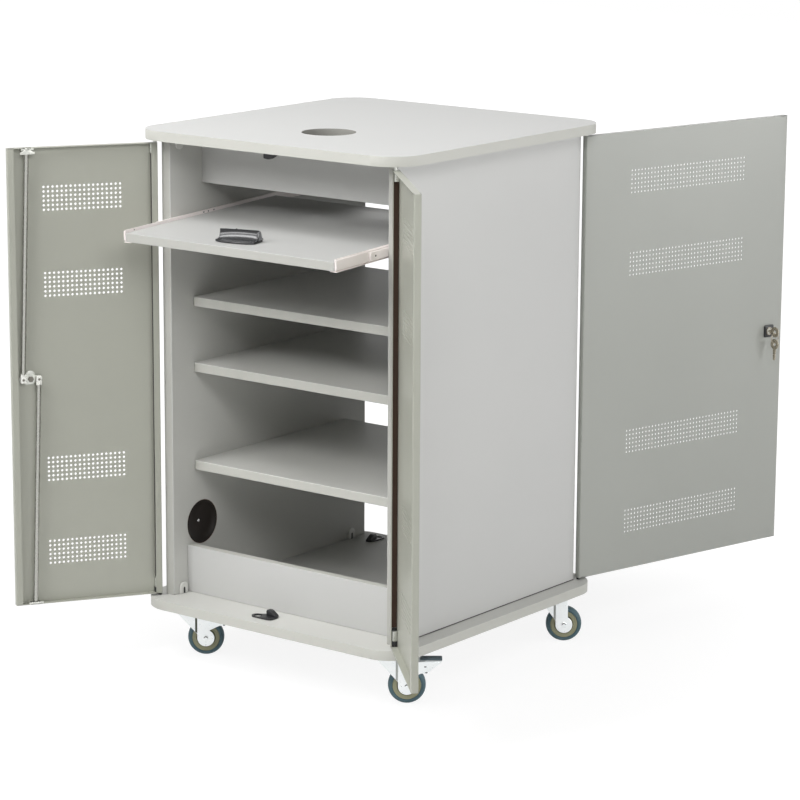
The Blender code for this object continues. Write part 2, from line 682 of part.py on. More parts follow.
def make_cam(door, name):
    """The plug with its cam plate, and the two rods on the cam's pins."""
    turn = door.along_depth()
    axis = empty(name + "_lock_axis", door.axis, door.point(door.lock, 0, DOOR_MIDDLE))
    stadium = (arc((CAM_THROW, 0), CAM_END_RADIUS, -90, 90, CORNER_STEPS)
               + arc((-CAM_THROW, 0), CAM_END_RADIUS, 90, 270, CORNER_STEPS))
    plate = moved(slab(stadium, CAM_PLATE_THICKNESS), at(0, 0, (CAM_FRONT + CAM_BACK) / 2), turn)
    cam = part(name + "_lock_cam", plate, ZINC, axis)
    outer = -SEAT_GAP - ESCUTCHEON_THICKNESS - LOCK_PLUG_PROUD
    middle = (CAM_FRONT + CAM_BACK) / 2
    tip = ROD_DEPTH + ROD_EYE_THICKNESS / 2 + ROD_RUNNING_GAP
    fuse(cam, moved(cylinder(LOCK_PLUG_RADIUS, (0, 0, outer), (0, 0, middle), SMALL_ROUND_STEPS), turn),
         *[moved(cylinder(CAM_PIN_RADIUS, (side * CAM_THROW, 0, middle), (side * CAM_THROW, 0, tip)), turn)
           for side in (-1, 1)])
    lean = -door.toward * math.degrees(ROD_LEAN)
    for label, up in (("upper", 1), ("lower", -1)):
        pin = empty(name + "_rod_" + label + "_pin", axis,
                    (up * door.toward * CAM_THROW, door.inward * ROD_DEPTH, 0), (0, lean, 0))
        bore = CAM_PIN_RADIUS + ROD_RUNNING_GAP
        half = ROD_EYE_THICKNESS / 2
        eye = turned([(ROD_EYE_RADIUS, half), (ROD_EYE_RADIUS, -half), (bore, -half), (bore, half)],
                     SMALL_ROUND_STEPS, closed=True)
        rod = part(name + "_rod_" + label, moved(eye, turn), ZINC, pin, smooth=True)
        start = (bore + ROD_EYE_RADIUS) / 2
        length = ROD_LENGTH / math.cos(ROD_LEAN)
        fuse(rod, cylinder(ROD_RADIUS, (0, 0, up * start), (0, 0, up * length), SMALL_ROUND_STEPS))
    return axis


def key_outline(blade_length):
    """A key in profile: bow round the origin, neck and blade along -Y."""
    half = KEY_BLADE_WIDTH / 2
    bow_start = math.degrees(math.asin(half / KEY_BOW_RADIUS))
    bow = arc((0, 0), KEY_BOW_RADIUS, -90 + bow_start, 270 - bow_start, ROUND_STEPS // 2)
    return bow + [(-half, -KEY_BOW_RADIUS - blade_length), (half, -KEY_BOW_RADIUS - blade_length)]


def make_keys(door, axis):
    """The key in the rear lock, and the spare that hangs from it on a ring."""
    face = SEAT_GAP + ESCUTCHEON_THICKNESS + LOCK_PLUG_PROUD
    out = face + SEAT_GAP + KEY_NECK_LENGTH + KEY_BOW_RADIUS
    to_lock = Matrix(((0, 0, door.inward, 0), (0, -door.inward, 0, 0), (1, 0, 0, 0), (0, 0, 0, 1)))
    key = moved(slab(key_outline(KEY_NECK_LENGTH), KEY_THICKNESS), to_lock, at(0, -door.inward * out, 0))
    hole = cylinder(KEY_BOW_HOLE_RADIUS, (-KEY_THICKNESS, -door.inward * out, 0),
                    (KEY_THICKNESS, -door.inward * out, 0), SMALL_ROUND_STEPS)
    cut(part("rear_key", key, STEEL, axis), hole)

    hang = empty("spare_key_hang", axis, (0, -door.inward * out, 0))
    slack = KEY_BOW_HOLE_RADIUS - KEY_RING_WIRE - SEAT_GAP
    ring_drop = -slack - KEY_RING_RADIUS
    spare_drop = ring_drop - KEY_RING_RADIUS - slack
    wire = arc((KEY_RING_RADIUS, 0), KEY_RING_WIRE, 0, 300, 5)
    part("key_ring", moved(turned(wire, closed=True), TO_XZ, at(0, 0, ring_drop)), STEEL, hang, smooth=True)
    spare = moved(slab(key_outline(KEY_BLADE_LENGTH), KEY_THICKNESS), TO_YZ, at(0, 0, spare_drop))
    eye = cylinder(KEY_BOW_HOLE_RADIUS, (-KEY_THICKNESS, 0, spare_drop), (KEY_THICKNESS, 0, spare_drop),
                   SMALL_ROUND_STEPS)
    cut(part("spare_key", spare, STEEL, hang), eye)


# Pull-out shelf

def runner_profiles():
    """Sections of the three members: s out from the shelf's edge, h up from its top."""
    sheet = RUNNER_SHEET
    gap = RUNNER_GAP
    web = SEAT_GAP + sheet
    rail = web + RUNNER_RAIL_DEPTH
    rail_high = RUNNER_RAIL_ABOVE_SHELF
    rail_low = rail_high - RUNNER_RAIL_HEIGHT
    flange_top = -PULL_OUT_THICKNESS - SEAT_GAP
    flange_low = flange_top - sheet
    under = -RUNNER_FLANGE_UNDER_SHELF
    shelf = [(under, flange_low), (rail, flange_low), (rail, flange_top), (web, flange_top), (web, rail_low),
             (rail, rail_low), (rail, rail_high), (web, rail_high), (web, RUNNER_WEB_ABOVE_SHELF),
             (SEAT_GAP, RUNNER_WEB_ABOVE_SHELF), (SEAT_GAP, flange_top), (under, flange_top)]

    mid_web = rail + gap
    mid_back = mid_web + sheet
    mid_lip = web + gap
    mid_high = rail_high + gap
    mid_low = rail_low - gap
    cabinet_back = RUNNER_SPACE - SEAT_GAP
    cabinet_web = cabinet_back - sheet
    mid_rail = cabinet_web - gap
    centre = (rail_high + rail_low) / 2
    mid_rail_high = centre + RUNNER_MIDDLE_RAIL_HEIGHT / 2
    mid_rail_low = centre - RUNNER_MIDDLE_RAIL_HEIGHT / 2
    middle = [(mid_lip, mid_low - sheet), (mid_back, mid_low - sheet), (mid_back, mid_rail_low),
              (mid_rail, mid_rail_low), (mid_rail, mid_rail_high), (mid_back, mid_rail_high),
              (mid_back, mid_high + sheet), (mid_lip, mid_high + sheet), (mid_lip, mid_high),
              (mid_web, mid_high), (mid_web, mid_low), (mid_lip, mid_low)]

    lip = mid_back + gap
    high = mid_rail_high + gap
    low = mid_rail_low - gap
    cabinet = [(lip, low - sheet), (cabinet_back, low - sheet), (cabinet_back, high + sheet),
               (lip, high + sheet), (lip, high), (cabinet_web, high), (cabinet_web, low), (lip, low)]
    return shelf, middle, cabinet


def make_runners(name, profile, start, length, axis):
    for label, side in (("left", -1), ("right", 1)):
        points = [(side * (PULL_OUT_HALF + s), h) for s, h in profile]
        mesh = moved(slab(points, length), TO_XZ, at(0, start + length / 2, 0))
        part(name + "_" + label, mesh, RUNNER_WHITE, axis)


def make_pull_out():
    front = (0, -HALF_DEPTH - PULL_OUT_REACH, TOP_UNDER - PULL_OUT_BELOW_TOP)
    axis = empty("pull_out_axis", cart, front, (PULL_OUT_PITCH, 0, 0))
    middle_axis = empty("runner_middle_axis", cart, front, (PULL_OUT_PITCH, 0, 0))
    fixed_axis = empty("runner_cabinet_axis", cart, front, (PULL_OUT_PITCH, 0, 0))
    part("pull_out_shelf", box((-PULL_OUT_HALF, 0, -PULL_OUT_THICKNESS), (PULL_OUT_HALF, PULL_OUT_DEPTH, 0)),
         GREY_LAMINATE, axis)
    shelf, middle, cabinet = runner_profiles()
    make_runners("runner_shelf", shelf, 0, PULL_OUT_DEPTH, axis)
    make_runners("runner_middle", middle, RUNNER_MIDDLE_START, RUNNER_MIDDLE_LENGTH, middle_axis)
    make_runners("runner_cabinet", cabinet, RUNNER_CABINET_START, RUNNER_CABINET_LENGTH, fixed_axis)
    make_handle(axis)


def make_handle(axis):
    """A bowed foot with an upright grip, scooped in front and braced by a cheek at its right end."""
    half = HANDLE_WIDTH / 2
    foot = [(half, HANDLE_BACK), (-half, HANDLE_BACK)]
    for i in range(CORNER_STEPS + 1):
        share = 2 * i / CORNER_STEPS - 1
        bow = (HANDLE_BULGE - HANDLE_END_BULGE) * (1 - share ** 2)
        foot.append((half * share, -HANDLE_END_BULGE - bow))
    scoop_radius = HANDLE_HEIGHT - HANDLE_BASE_THICKNESS
    scoop = arc((-scoop_radius, HANDLE_HEIGHT), scoop_radius, -60, 0, CORNER_STEPS)
    root = HANDLE_BASE_THICKNESS / 2
    grip = [(scoop[0][0], root)] + scoop
    grip += [(HANDLE_GRIP_THICKNESS, HANDLE_HEIGHT), (2 * HANDLE_GRIP_THICKNESS, root)]
    turn = Matrix.Rotation(math.radians(HANDLE_TURN), 4, "Z")
    place = at(HANDLE_OFF_CENTRE, HANDLE_FROM_FRONT, SEAT_GAP) @ turn
    sole = moved(slab(foot, HANDLE_BASE_THICKNESS), at(0, 0, root), place)
    handle = part("shelf_pull_handle", sole, BLACK_PLASTIC, axis, smooth=True)
    right = half - SEAT_GAP
    grip_width = HANDLE_WIDTH - 2 * HANDLE_GRIP_THICKNESS
    grip_place = place @ at(right - grip_width / 2, HANDLE_GRIP_SETBACK, 0)
    fuse(handle, moved(slab(grip, grip_width), TO_YZ, grip_place))
    middle = HANDLE_GRIP_SETBACK + HANDLE_GRIP_THICKNESS / 2
    cheek = box((right - HANDLE_CHEEK_WIDTH, middle, root),
                (right - SEAT_GAP, HANDLE_BACK - SEAT_GAP, HANDLE_CHEEK_HEIGHT))
    fuse(handle, moved(cheek, place))


# Casters

PLATE_TOP = CASTER_HEIGHT - SEAT_GAP
PLATE_UNDER = PLATE_TOP - CASTER_PLATE_THICKNESS
RACE_UNDER = PLATE_UNDER - CASTER_RACE_HEIGHT
CROWN_TOP = RACE_UNDER - SEAT_GAP
CROWN_UNDER = CROWN_TOP - FORK_SHEET
FORK_INNER = HUB_WIDTH / 2 + FORK_WHEEL_GAP
FORK_OUTER = FORK_INNER + FORK_SHEET


def make_plate(corner):
    """Top plate with its ball race and the kingpin that the fork hangs from."""
    head_top = CROWN_UNDER - SEAT_GAP
    head_low = head_top - KINGPIN_HEAD_HEIGHT
    middle = (PLATE_TOP + PLATE_UNDER) / 2
    profile = [(0, middle), (CASTER_RACE_RADIUS, middle), (CASTER_RACE_RADIUS, RACE_UNDER),
               (KINGPIN_RADIUS, RACE_UNDER), (KINGPIN_RADIUS, head_top), (KINGPIN_HEAD_RADIUS, head_top),
               (KINGPIN_HEAD_RADIUS, head_low), (0, head_low)]
    outline = rounded_rectangle(CASTER_PLATE_SIZE, CASTER_PLATE_SIZE, CASTER_PLATE_SIZE / 10, 4)
    plate = part("caster_plate_" + corner,
                 moved(slab(outline, CASTER_PLATE_THICKNESS), at(*CASTERS[corner], middle)),
                 ZINC, cart, smooth=True)
    fuse(plate, moved(turned(profile), at(*CASTERS[corner], 0)))


def fork_leg(braked):
    """Side view of a fork leg: broad at the crown, upright behind, round at the axle.

    A braked fork has a wing in front, beside its brake.
    """
    centre = Vector((CASTER_TRAIL, WHEEL_RADIUS))
    top = CROWN_TOP - FORK_SHEET / 2
    points = [(-FORK_CROWN_BACK, CROWN_UNDER), (-FORK_CROWN_BACK, top), (FORK_CROWN_FRONT, top)]
    if braked:
        high = CROWN_UNDER - FORK_WING_BELOW_CROWN
        low = WHEEL_RADIUS + FORK_WING_ABOVE_AXLE
        points += [(FORK_CROWN_FRONT, high), (FORK_WING_REACH, high), (FORK_WING_REACH, high - FORK_WING_TIP),
                   (FORK_WING_FLAT_END, low), (FORK_WING_FLAT_START, low),
                   (FORK_CROWN_FRONT, WHEEL_RADIUS + FORK_WING_ROOT_ABOVE_AXLE)]
    start = math.degrees(math.acos((FORK_CROWN_FRONT - CASTER_TRAIL) / FORK_END_RADIUS))
    away = Vector(points[0]) - centre
    end = math.degrees(math.atan2(away.y, away.x) + math.acos(FORK_END_RADIUS / away.length)) - 360
    return points + arc(tuple(centre), FORK_END_RADIUS, start, end, 2 * CORNER_STEPS)


def make_caster(corner):
    braked = corner in BRAKED_CASTERS
    swivel = empty("caster_" + corner, cart, (*CASTERS[corner], 0), (0, 0, CASTER_HEADING))
    inset = SEAT_GAP
    crown = box((-FORK_CROWN_BACK, -FORK_OUTER + inset, CROWN_UNDER),
                (FORK_CROWN_FRONT, FORK_OUTER - inset, CROWN_TOP))
    fork = part("caster_fork_" + corner, crown, ZINC, swivel, smooth=True)
    legs = [moved(slab(fork_leg(braked), FORK_SHEET), TO_XZ, at(0, side * (FORK_INNER + FORK_OUTER) / 2, 0))
            for side in (-1, 1)]
    fuse(fork, *legs)
    axle_z = WHEEL_RADIUS
    holes = [cylinder(AXLE_RADIUS + AXLE_RUNNING_GAP, (CASTER_TRAIL, -2 * FORK_OUTER, axle_z),
                      (CASTER_TRAIL, 2 * FORK_OUTER, axle_z), SMALL_ROUND_STEPS),
             cylinder(KINGPIN_RADIUS + SEAT_GAP, (0, 0, CROWN_UNDER - SEAT_GAP), (0, 0, CROWN_TOP + SEAT_GAP),
                      SMALL_ROUND_STEPS)]
    if braked:
        x, z = brake_pivot()
        holes.append(cylinder(BRAKE_PIVOT_RADIUS + SEAT_GAP, (x, -2 * FORK_OUTER, z), (x, 2 * FORK_OUTER, z)))
    cut(fork, *holes)

    wheel = empty("wheel_" + corner, swivel, (CASTER_TRAIL, 0, axle_z), (90, 0, 0))
    head = FORK_OUTER + SEAT_GAP
    tip = head + AXLE_HEAD_HEIGHT
    axle = [(0, tip), (AXLE_HEAD_RADIUS, tip), (AXLE_HEAD_RADIUS, head), (AXLE_RADIUS, head),
            (AXLE_RADIUS, -head), (AXLE_HEAD_RADIUS, -head), (AXLE_HEAD_RADIUS, -tip), (0, -tip)]
    part("caster_axle_" + corner, turned(axle, SMALL_ROUND_STEPS), ZINC, wheel, smooth=True)
    make_wheel(corner, wheel)
    if braked:
        make_brake(corner, swivel)


def make_wheel(corner, wheel):
    bore = AXLE_RADIUS + AXLE_RUNNING_GAP
    boss = HUB_WIDTH / 2
    web = HUB_WEB_THICKNESS / 2
    rim = WHEEL_WIDTH / 2
    rim_inner = HUB_RADIUS - HUB_RIM_THICKNESS
    half = [(bore, boss), (HUB_BOSS_RADIUS, boss), (HUB_BOSS_RADIUS, web), (rim_inner, web), (rim_inner, rim),
            (HUB_RADIUS, rim)]
    part("caster_hub_" + corner, turned(half + [(r, -z) for r, z in reversed(half)], closed=True),
         HUB_NYLON, wheel, smooth=True)
    seat = HUB_RADIUS + SEAT_GAP
    shoulder = WHEEL_RADIUS - WHEEL_WIDTH / 4
    crown = []
    for turn in (0, 45, 90):
        a = math.radians(turn)
        crown.append((shoulder + (WHEEL_RADIUS - shoulder) * math.sin(a),
                      rim * (1 - TYRE_CROWN_SHARE * (1 - math.cos(a)))))
    tyre = [(seat, rim)] + crown
    part("caster_tyre_" + corner, turned(tyre + [(r, -z) for r, z in reversed(tyre)], closed=True),
         TYRE_RUBBER, wheel, smooth=True)


def brake_pivot():
    """Where the brake lever rocks, in the caster's own plane."""
    return BRAKE_PIVOT_FORWARD, CROWN_UNDER - BRAKE_PIVOT_DROP


def make_brake(corner, swivel):
    """A channel lever between the fork legs, with a shoe at the tyre and a pedal over it."""
    x, z = brake_pivot()
    axis = empty("brake_axis_" + corner, swivel, (x, 0, z))
    eye = 2 * BRAKE_PIVOT_RADIUS
    plate_top = FORK_SHEET
    reach = BRAKE_REACH - x
    tread = reach - BRAKE_TREAD_LENGTH
    axle = (CASTER_TRAIL - x, WHEEL_RADIUS - z)
    shoe_radius = WHEEL_RADIUS + BRAKE_SHOE_GAP
    turn = math.radians(BRAKE_SHOE_ANGLE)
    shoe = (axle[0] + shoe_radius * math.cos(turn), axle[1] + shoe_radius * math.sin(turn))
    cheek = [(reach, plate_top), (tread - eye, plate_top)] + arc((0, 0), eye, 90, 270, CORNER_STEPS)
    cheek += [(tread - eye, -eye), shoe, (shoe[0] + BRAKE_SHOE_LENGTH, shoe[1] - BRAKE_SHOE_GAP),
              (shoe[0] + 2 * BRAKE_SHOE_LENGTH, shoe[1] / 2), (reach, plate_top - FORK_SHEET)]
    far = BRAKE_WIDTH / 2
    near = far - BRAKE_CHEEK
    cheeks = [moved(slab(cheek, BRAKE_CHEEK), TO_XZ, at(0, side * (near + far) / 2, 0)) for side in (-1, 1)]
    lever = part("brake_lever_" + corner, grouped(cheeks), ZINC, axis)
    bar = box((tread + SEAT_GAP, -far + SEAT_GAP, plate_top - FORK_SHEET + SEAT_GAP),
              (reach - SEAT_GAP, far - SEAT_GAP, plate_top + SEAT_GAP))
    pin = cylinder(BRAKE_PIVOT_RADIUS, (0, -FORK_OUTER, 0), (0, FORK_OUTER, 0))
    fuse(lever, bar, pin)
    low = plate_top + 2 * SEAT_GAP
    outline = [(tread, low), (reach, low), (reach, low + BRAKE_TREAD_HEIGHT),
               (tread + BRAKE_TREAD_HEIGHT, low + BRAKE_TREAD_HEIGHT), (tread, low + BRAKE_TREAD_HEIGHT / 2)]
    part("brake_tread_" + corner, moved(slab(outline, BRAKE_TREAD_WIDTH), TO_XZ), TREAD_GREY, axis)


def stand_on_floor():
    """Moves the whole cart so that its box is centred in plan and starts at the floor."""
    bpy.context.view_layer.update()
    graph = bpy.context.evaluated_depsgraph_get()
    corners = []
    for obj in parts.objects:
        if obj.type == "MESH":
            shape = obj.evaluated_get(graph)
            corners += [shape.matrix_world @ vertex.co for vertex in shape.data.vertices]
    low = Vector([min(c[i] for c in corners) for i in range(3)])
    high = Vector([max(c[i] for c in corners) for i in range(3)])
    cart.location = (-(low.x + high.x) / 2, -(low.y + high.y) / 2, -low.z)
    bpy.context.view_layer.update()


make_boards()
make_panels()
make_shelves()
make_grommet()
for lock_name, lock_door in (("front", left_door), ("rear", rear_door)):
    make_keep(lock_name + "_keep_base", lock_door, BASE_TOP, 1)
    make_keep(lock_name + "_keep_top", lock_door, TOP_UNDER, -1)
for each_door in DOORS:
    make_door(each_door)
make_lock(left_door, "front")
make_lock(rear_door, "rear")
make_keys(rear_door, bpy.data.objects["rear_lock_axis"])
make_pull_out()
for each_corner in CASTERS:
    make_plate(each_corner)
    make_caster(each_corner)
stand_on_floor()
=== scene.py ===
import json
import math

import bmesh
import bpy
from mathutils import Matrix, Vector


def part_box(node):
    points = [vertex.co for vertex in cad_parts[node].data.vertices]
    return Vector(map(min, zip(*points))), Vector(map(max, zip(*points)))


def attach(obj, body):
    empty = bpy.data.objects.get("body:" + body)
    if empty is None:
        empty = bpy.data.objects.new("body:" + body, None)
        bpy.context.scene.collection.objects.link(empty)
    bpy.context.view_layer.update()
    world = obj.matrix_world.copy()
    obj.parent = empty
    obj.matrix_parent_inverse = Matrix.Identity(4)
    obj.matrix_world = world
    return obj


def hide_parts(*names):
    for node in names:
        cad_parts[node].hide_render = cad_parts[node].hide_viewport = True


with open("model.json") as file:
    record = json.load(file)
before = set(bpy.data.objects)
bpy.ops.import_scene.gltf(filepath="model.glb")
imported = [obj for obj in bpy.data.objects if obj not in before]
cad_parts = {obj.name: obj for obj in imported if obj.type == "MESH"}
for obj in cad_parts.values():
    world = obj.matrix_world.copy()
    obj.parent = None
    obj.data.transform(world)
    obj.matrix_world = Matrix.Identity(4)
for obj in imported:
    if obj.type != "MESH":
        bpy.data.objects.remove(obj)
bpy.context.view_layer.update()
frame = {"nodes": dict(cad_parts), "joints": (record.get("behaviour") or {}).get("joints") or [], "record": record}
print("frame loaded:", len(frame["nodes"]), "nodes")

# where the cart stands: every place below is measured from the cabinet's middle and the base board's top
topLow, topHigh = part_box("top_board")
baseLow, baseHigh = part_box("base_board")
panelLow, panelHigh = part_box("side_panel_left")
cart = {
    "x": (topLow.x + topHigh.x) / 2,
    "y": (topLow.y + topHigh.y) / 2,
    "baseTop": baseHigh.z,
    "topUnder": topLow.z,
    "width": topHigh.x - topLow.x,
    "depth": topHigh.y - topLow.y,
}
cart["panelInner"] = cart["x"] - panelHigh.x
jointAt = {j["name"]: Vector(j["pos_m"]) for j in frame["joints"] if "pos_m" in j}


# placing

def moved(x, y, z):
    return Matrix.Translation((x, y, z))


def turned(angle, axis):
    return Matrix.Rotation(math.radians(angle), 4, axis)


toCart = moved(cart["x"], cart["y"], 0.0)
standing = turned(90, "X")  # an outline's y goes up, its height toward the front
upright = Matrix(((1, 0, 0, 0), (0, 0, 1, 0), (0, 1, 0, 0), (0, 0, 0, 1)))  # y goes up, height inward
sideways = Matrix(((0, 0, 1, 0), (1, 0, 0, 0), (0, 1, 0, 0), (0, 0, 0, 1)))  # x inward, y up, height across


# small mesh tools

def arcPoints(cx, cy, radius, start, end, steps):
    turns = [math.radians(start + (end - start) * i / steps) for i in range(steps + 1)]
    return [(cx + radius * math.cos(a), cy + radius * math.sin(a)) for a in turns]


def roundedOutline(x0, y0, x1, y1, radius, steps=6):
    return (arcPoints(x1 - radius, y1 - radius, radius, 0, 90, steps)
            + arcPoints(x0 + radius, y1 - radius, radius, 90, 180, steps)
            + arcPoints(x0 + radius, y0 + radius, radius, 180, 270, steps)
            + arcPoints(x1 - radius, y0 + radius, radius, 270, 360, steps))


def addBox(bm, low, high):
    a = Vector([min(pair) for pair in zip(low, high)])
    b = Vector([max(pair) for pair in zip(low, high)])
    matrix = Matrix.Translation((a + b) / 2) @ Matrix.Diagonal((*(b - a), 1.0))
    bmesh.ops.create_cube(bm, size=1.0, matrix=matrix)


def addPrism(bm, outline, low, high, matrix=None):
    # A flat outline in xy drawn out from one height to another.
    verts = [bm.verts.new((x, y, low)) for x, y in outline]
    face = bm.faces.new(verts)
    out = bmesh.ops.extrude_face_region(bm, geom=[face])
    lifted = [g for g in out["geom"] if isinstance(g, bmesh.types.BMVert)]
    bmesh.ops.translate(bm, vec=(0, 0, high - low), verts=lifted)
    made = verts + lifted
    faces = list({f for v in made for f in v.link_faces})
    bmesh.ops.recalc_face_normals(bm, faces=faces)
    if matrix is not None:
        bmesh.ops.transform(bm, matrix=matrix, verts=made)
    return made


def addLathe(bm, profile, steps=48, matrix=None, closed=False):
    # A profile of radius and height turned about z; radius 0 closes on the axis.
    rings = []
    for radius, height in profile:
        if radius < 1e-7:
            rings.append([bm.verts.new((0, 0, height))])
        else:
            rings.append([bm.verts.new((radius * math.cos(2 * math.pi * i / steps),
                                        radius * math.sin(2 * math.pi * i / steps), height))
                          for i in range(steps)])
    pairs = list(zip(rings, rings[1:]))
    if closed:
        pairs.append((rings[-1], rings[0]))
    faces = []
    for one, two in pairs:
        for i in range(steps):
            j = (i + 1) % steps
            corners = [one[i % len(one)], one[j % len(one)], two[j % len(two)], two[i % len(two)]]
            corners = list(dict.fromkeys(corners))
            if len(corners) > 2:
                faces.append(bm.faces.new(corners))
    bmesh.ops.recalc_face_normals(bm, faces=faces)
    made = [v for ring in rings for v in ring]
    if matrix is not None:
        bmesh.ops.transform(bm, matrix=matrix, verts=made)
    return made


def addRod(bm, start, end, radius, steps=24, softEnd=0.0004):
    start, end = Vector(start), Vector(end)
    length = (end - start).length
    turn = (end - start).to_track_quat("Z", "Y").to_matrix().to_4x4()
    profile = [(0, length), (radius - softEnd, length), (radius, length - softEnd), (radius, softEnd),
               (radius - softEnd, 0), (0, 0)]
    addLathe(bm, profile, steps, Matrix.Translation(start) @ turn)


def soften(bm, width, segments=2, angle=30.0, verts=None):
    # Rounds the edges sharper than the angle.
    limit = math.radians(angle)
    chosen = None if verts is None else set(verts)
    edges = [e for e in bm.edges if e.is_manifold and e.calc_face_angle() > limit
             and (chosen is None or (e.verts[0] in chosen and e.verts[1] in chosen))]
    out = bmesh.ops.bevel(bm, geom=edges, offset=width, segments=segments, profile=0.5, affect="EDGES",
                          clamp_overlap=True)
    for face in out["faces"]:
        face.smooth = True


def keepFlat(bm):
    # Leaves the level and upright faces flat, so that only the rounded edges shade softly.
    bm.normal_update()
    for face in bm.faces:
        if max(abs(part) for part in face.normal) > 0.99999:
            face.smooth = False


def paintFaces(bm, verts, index):
    # Gives the faces whose corners are all among these verts another of the piece's finishes.
    chosen = set(verts)
    for face in bm.faces:
        if all(v in chosen for v in face.verts):
            face.material_index = index


sharpAngle = 38.0  # edges that turn by more than this stay crisp


def makePiece(name, bm, body, finishes, nodes=(), matrix=None, flat=False):
    # Closes off a mesh as one finished piece that rides on a body and stands for its nodes.
    mesh = bpy.data.meshes.new(name)
    bm.to_mesh(mesh)
    bm.free()
    makeFromMesh(name, mesh, body, finishes, nodes, matrix, flat)


def makeFromMesh(name, mesh, body, finishes, nodes=(), matrix=None, flat=False):
    if matrix is not None:
        mesh.transform(matrix)
        if matrix.determinant() < 0:
            mesh.flip_normals()
    if not flat:
        mesh.set_sharp_from_angle(angle=math.radians(sharpAngle))
    for finish in ([finishes] if isinstance(finishes, str) else finishes):
        mesh.materials.append(mats[finish])
    obj = bpy.data.objects.new(name, mesh)
    bpy.context.scene.collection.objects.link(obj)
    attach(obj, body)
    if nodes:
        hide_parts(*nodes)


# materials

def linear(color):
    out = []
    for c in color:
        c = c / 255.0
        out.append(c / 12.92 if c <= 0.04045 else ((c + 0.055) / 1.055) ** 2.4)
    return (*out, 1.0)


def addNode(nodes, kind, values=None, **settings):
    # A new node with its settings and the values of its open inputs.
    node = nodes.new(kind)
    for key, value in settings.items():
        setattr(node, key, value)
    for socket, value in (values or {}).items():
        node.inputs[socket].default_value = value
    return node


def wire(links, *joins):
    # Links outputs to inputs: from a node, its output, to a node, its input.
    for source, output, target, entry in joins:
        links.new(source.outputs[output], target.inputs[entry])


def makeMaterial(name, look):
    # A procedural finish: fine speckle, slow drift of tone, roughness and bump from the same grain.
    material = bpy.data.materials.new(name)
    material.use_nodes = True
    nodes, links = material.node_tree.nodes, material.node_tree.links
    shader = nodes["Principled BSDF"]
    coords = addNode(nodes, "ShaderNodeTexCoord")
    mapping = addNode(nodes, "ShaderNodeMapping", {"Scale": look.get("stretch", (1.0, 1.0, 1.0))})
    grain = addNode(nodes, "ShaderNodeTexNoise", {"Scale": look["grain"], "Detail": look.get("detail", 3.0),
                                                  "Roughness": 0.6})
    drift = addNode(nodes, "ShaderNodeTexNoise", {"Scale": look.get("drift", 3.0), "Detail": 2.0})
    base, spread = linear(look["color"])[:3], look["spread"]
    darker = (*[c * (1 - spread) for c in base], 1.0)
    lighter = (*[min(1.0, c * (1 + spread)) for c in base], 1.0)
    fine = addNode(nodes, "ShaderNodeMix", {6: darker, 7: lighter}, data_type="RGBA")
    tone = linear(look.get("driftColor", look["color"]))
    slow = addNode(nodes, "ShaderNodeMix", {7: tone}, data_type="RGBA")
    amount = addNode(nodes, "ShaderNodeMapRange", {"From Min": 0.35, "From Max": 0.75,
                                                   "To Max": look.get("driftAmount", 0.25)})
    rough = addNode(nodes, "ShaderNodeMapRange", {"From Min": 0.3, "From Max": 0.7,
                                                  "To Min": look["rough"][0], "To Max": look["rough"][1]})
    bump = addNode(nodes, "ShaderNodeBump", {"Strength": look["bump"], "Distance": 0.0003})
    values = {"Metallic": look.get("metal", 0.0), "Coat Weight": look.get("coat", 0.0),
              "Coat Roughness": 0.15, "Specular IOR Level": look.get("specular", 0.5)}
    for socket, value in values.items():
        shader.inputs[socket].default_value = value
    wire(links, (coords, "Object", mapping, "Vector"), (mapping, "Vector", grain, "Vector"),
         (coords, "Object", drift, "Vector"), (grain, "Fac", fine, 0), (drift, "Fac", amount, "Value"),
         (amount, "Result", slow, 0), (fine, 2, slow, 6), (slow, 2, shader, "Base Color"),
         (grain, "Fac", rough, "Value"), (rough, "Result", shader, "Roughness"),
         (grain, "Fac", bump, "Height"), (bump, "Normal", shader, "Normal"))
    return material


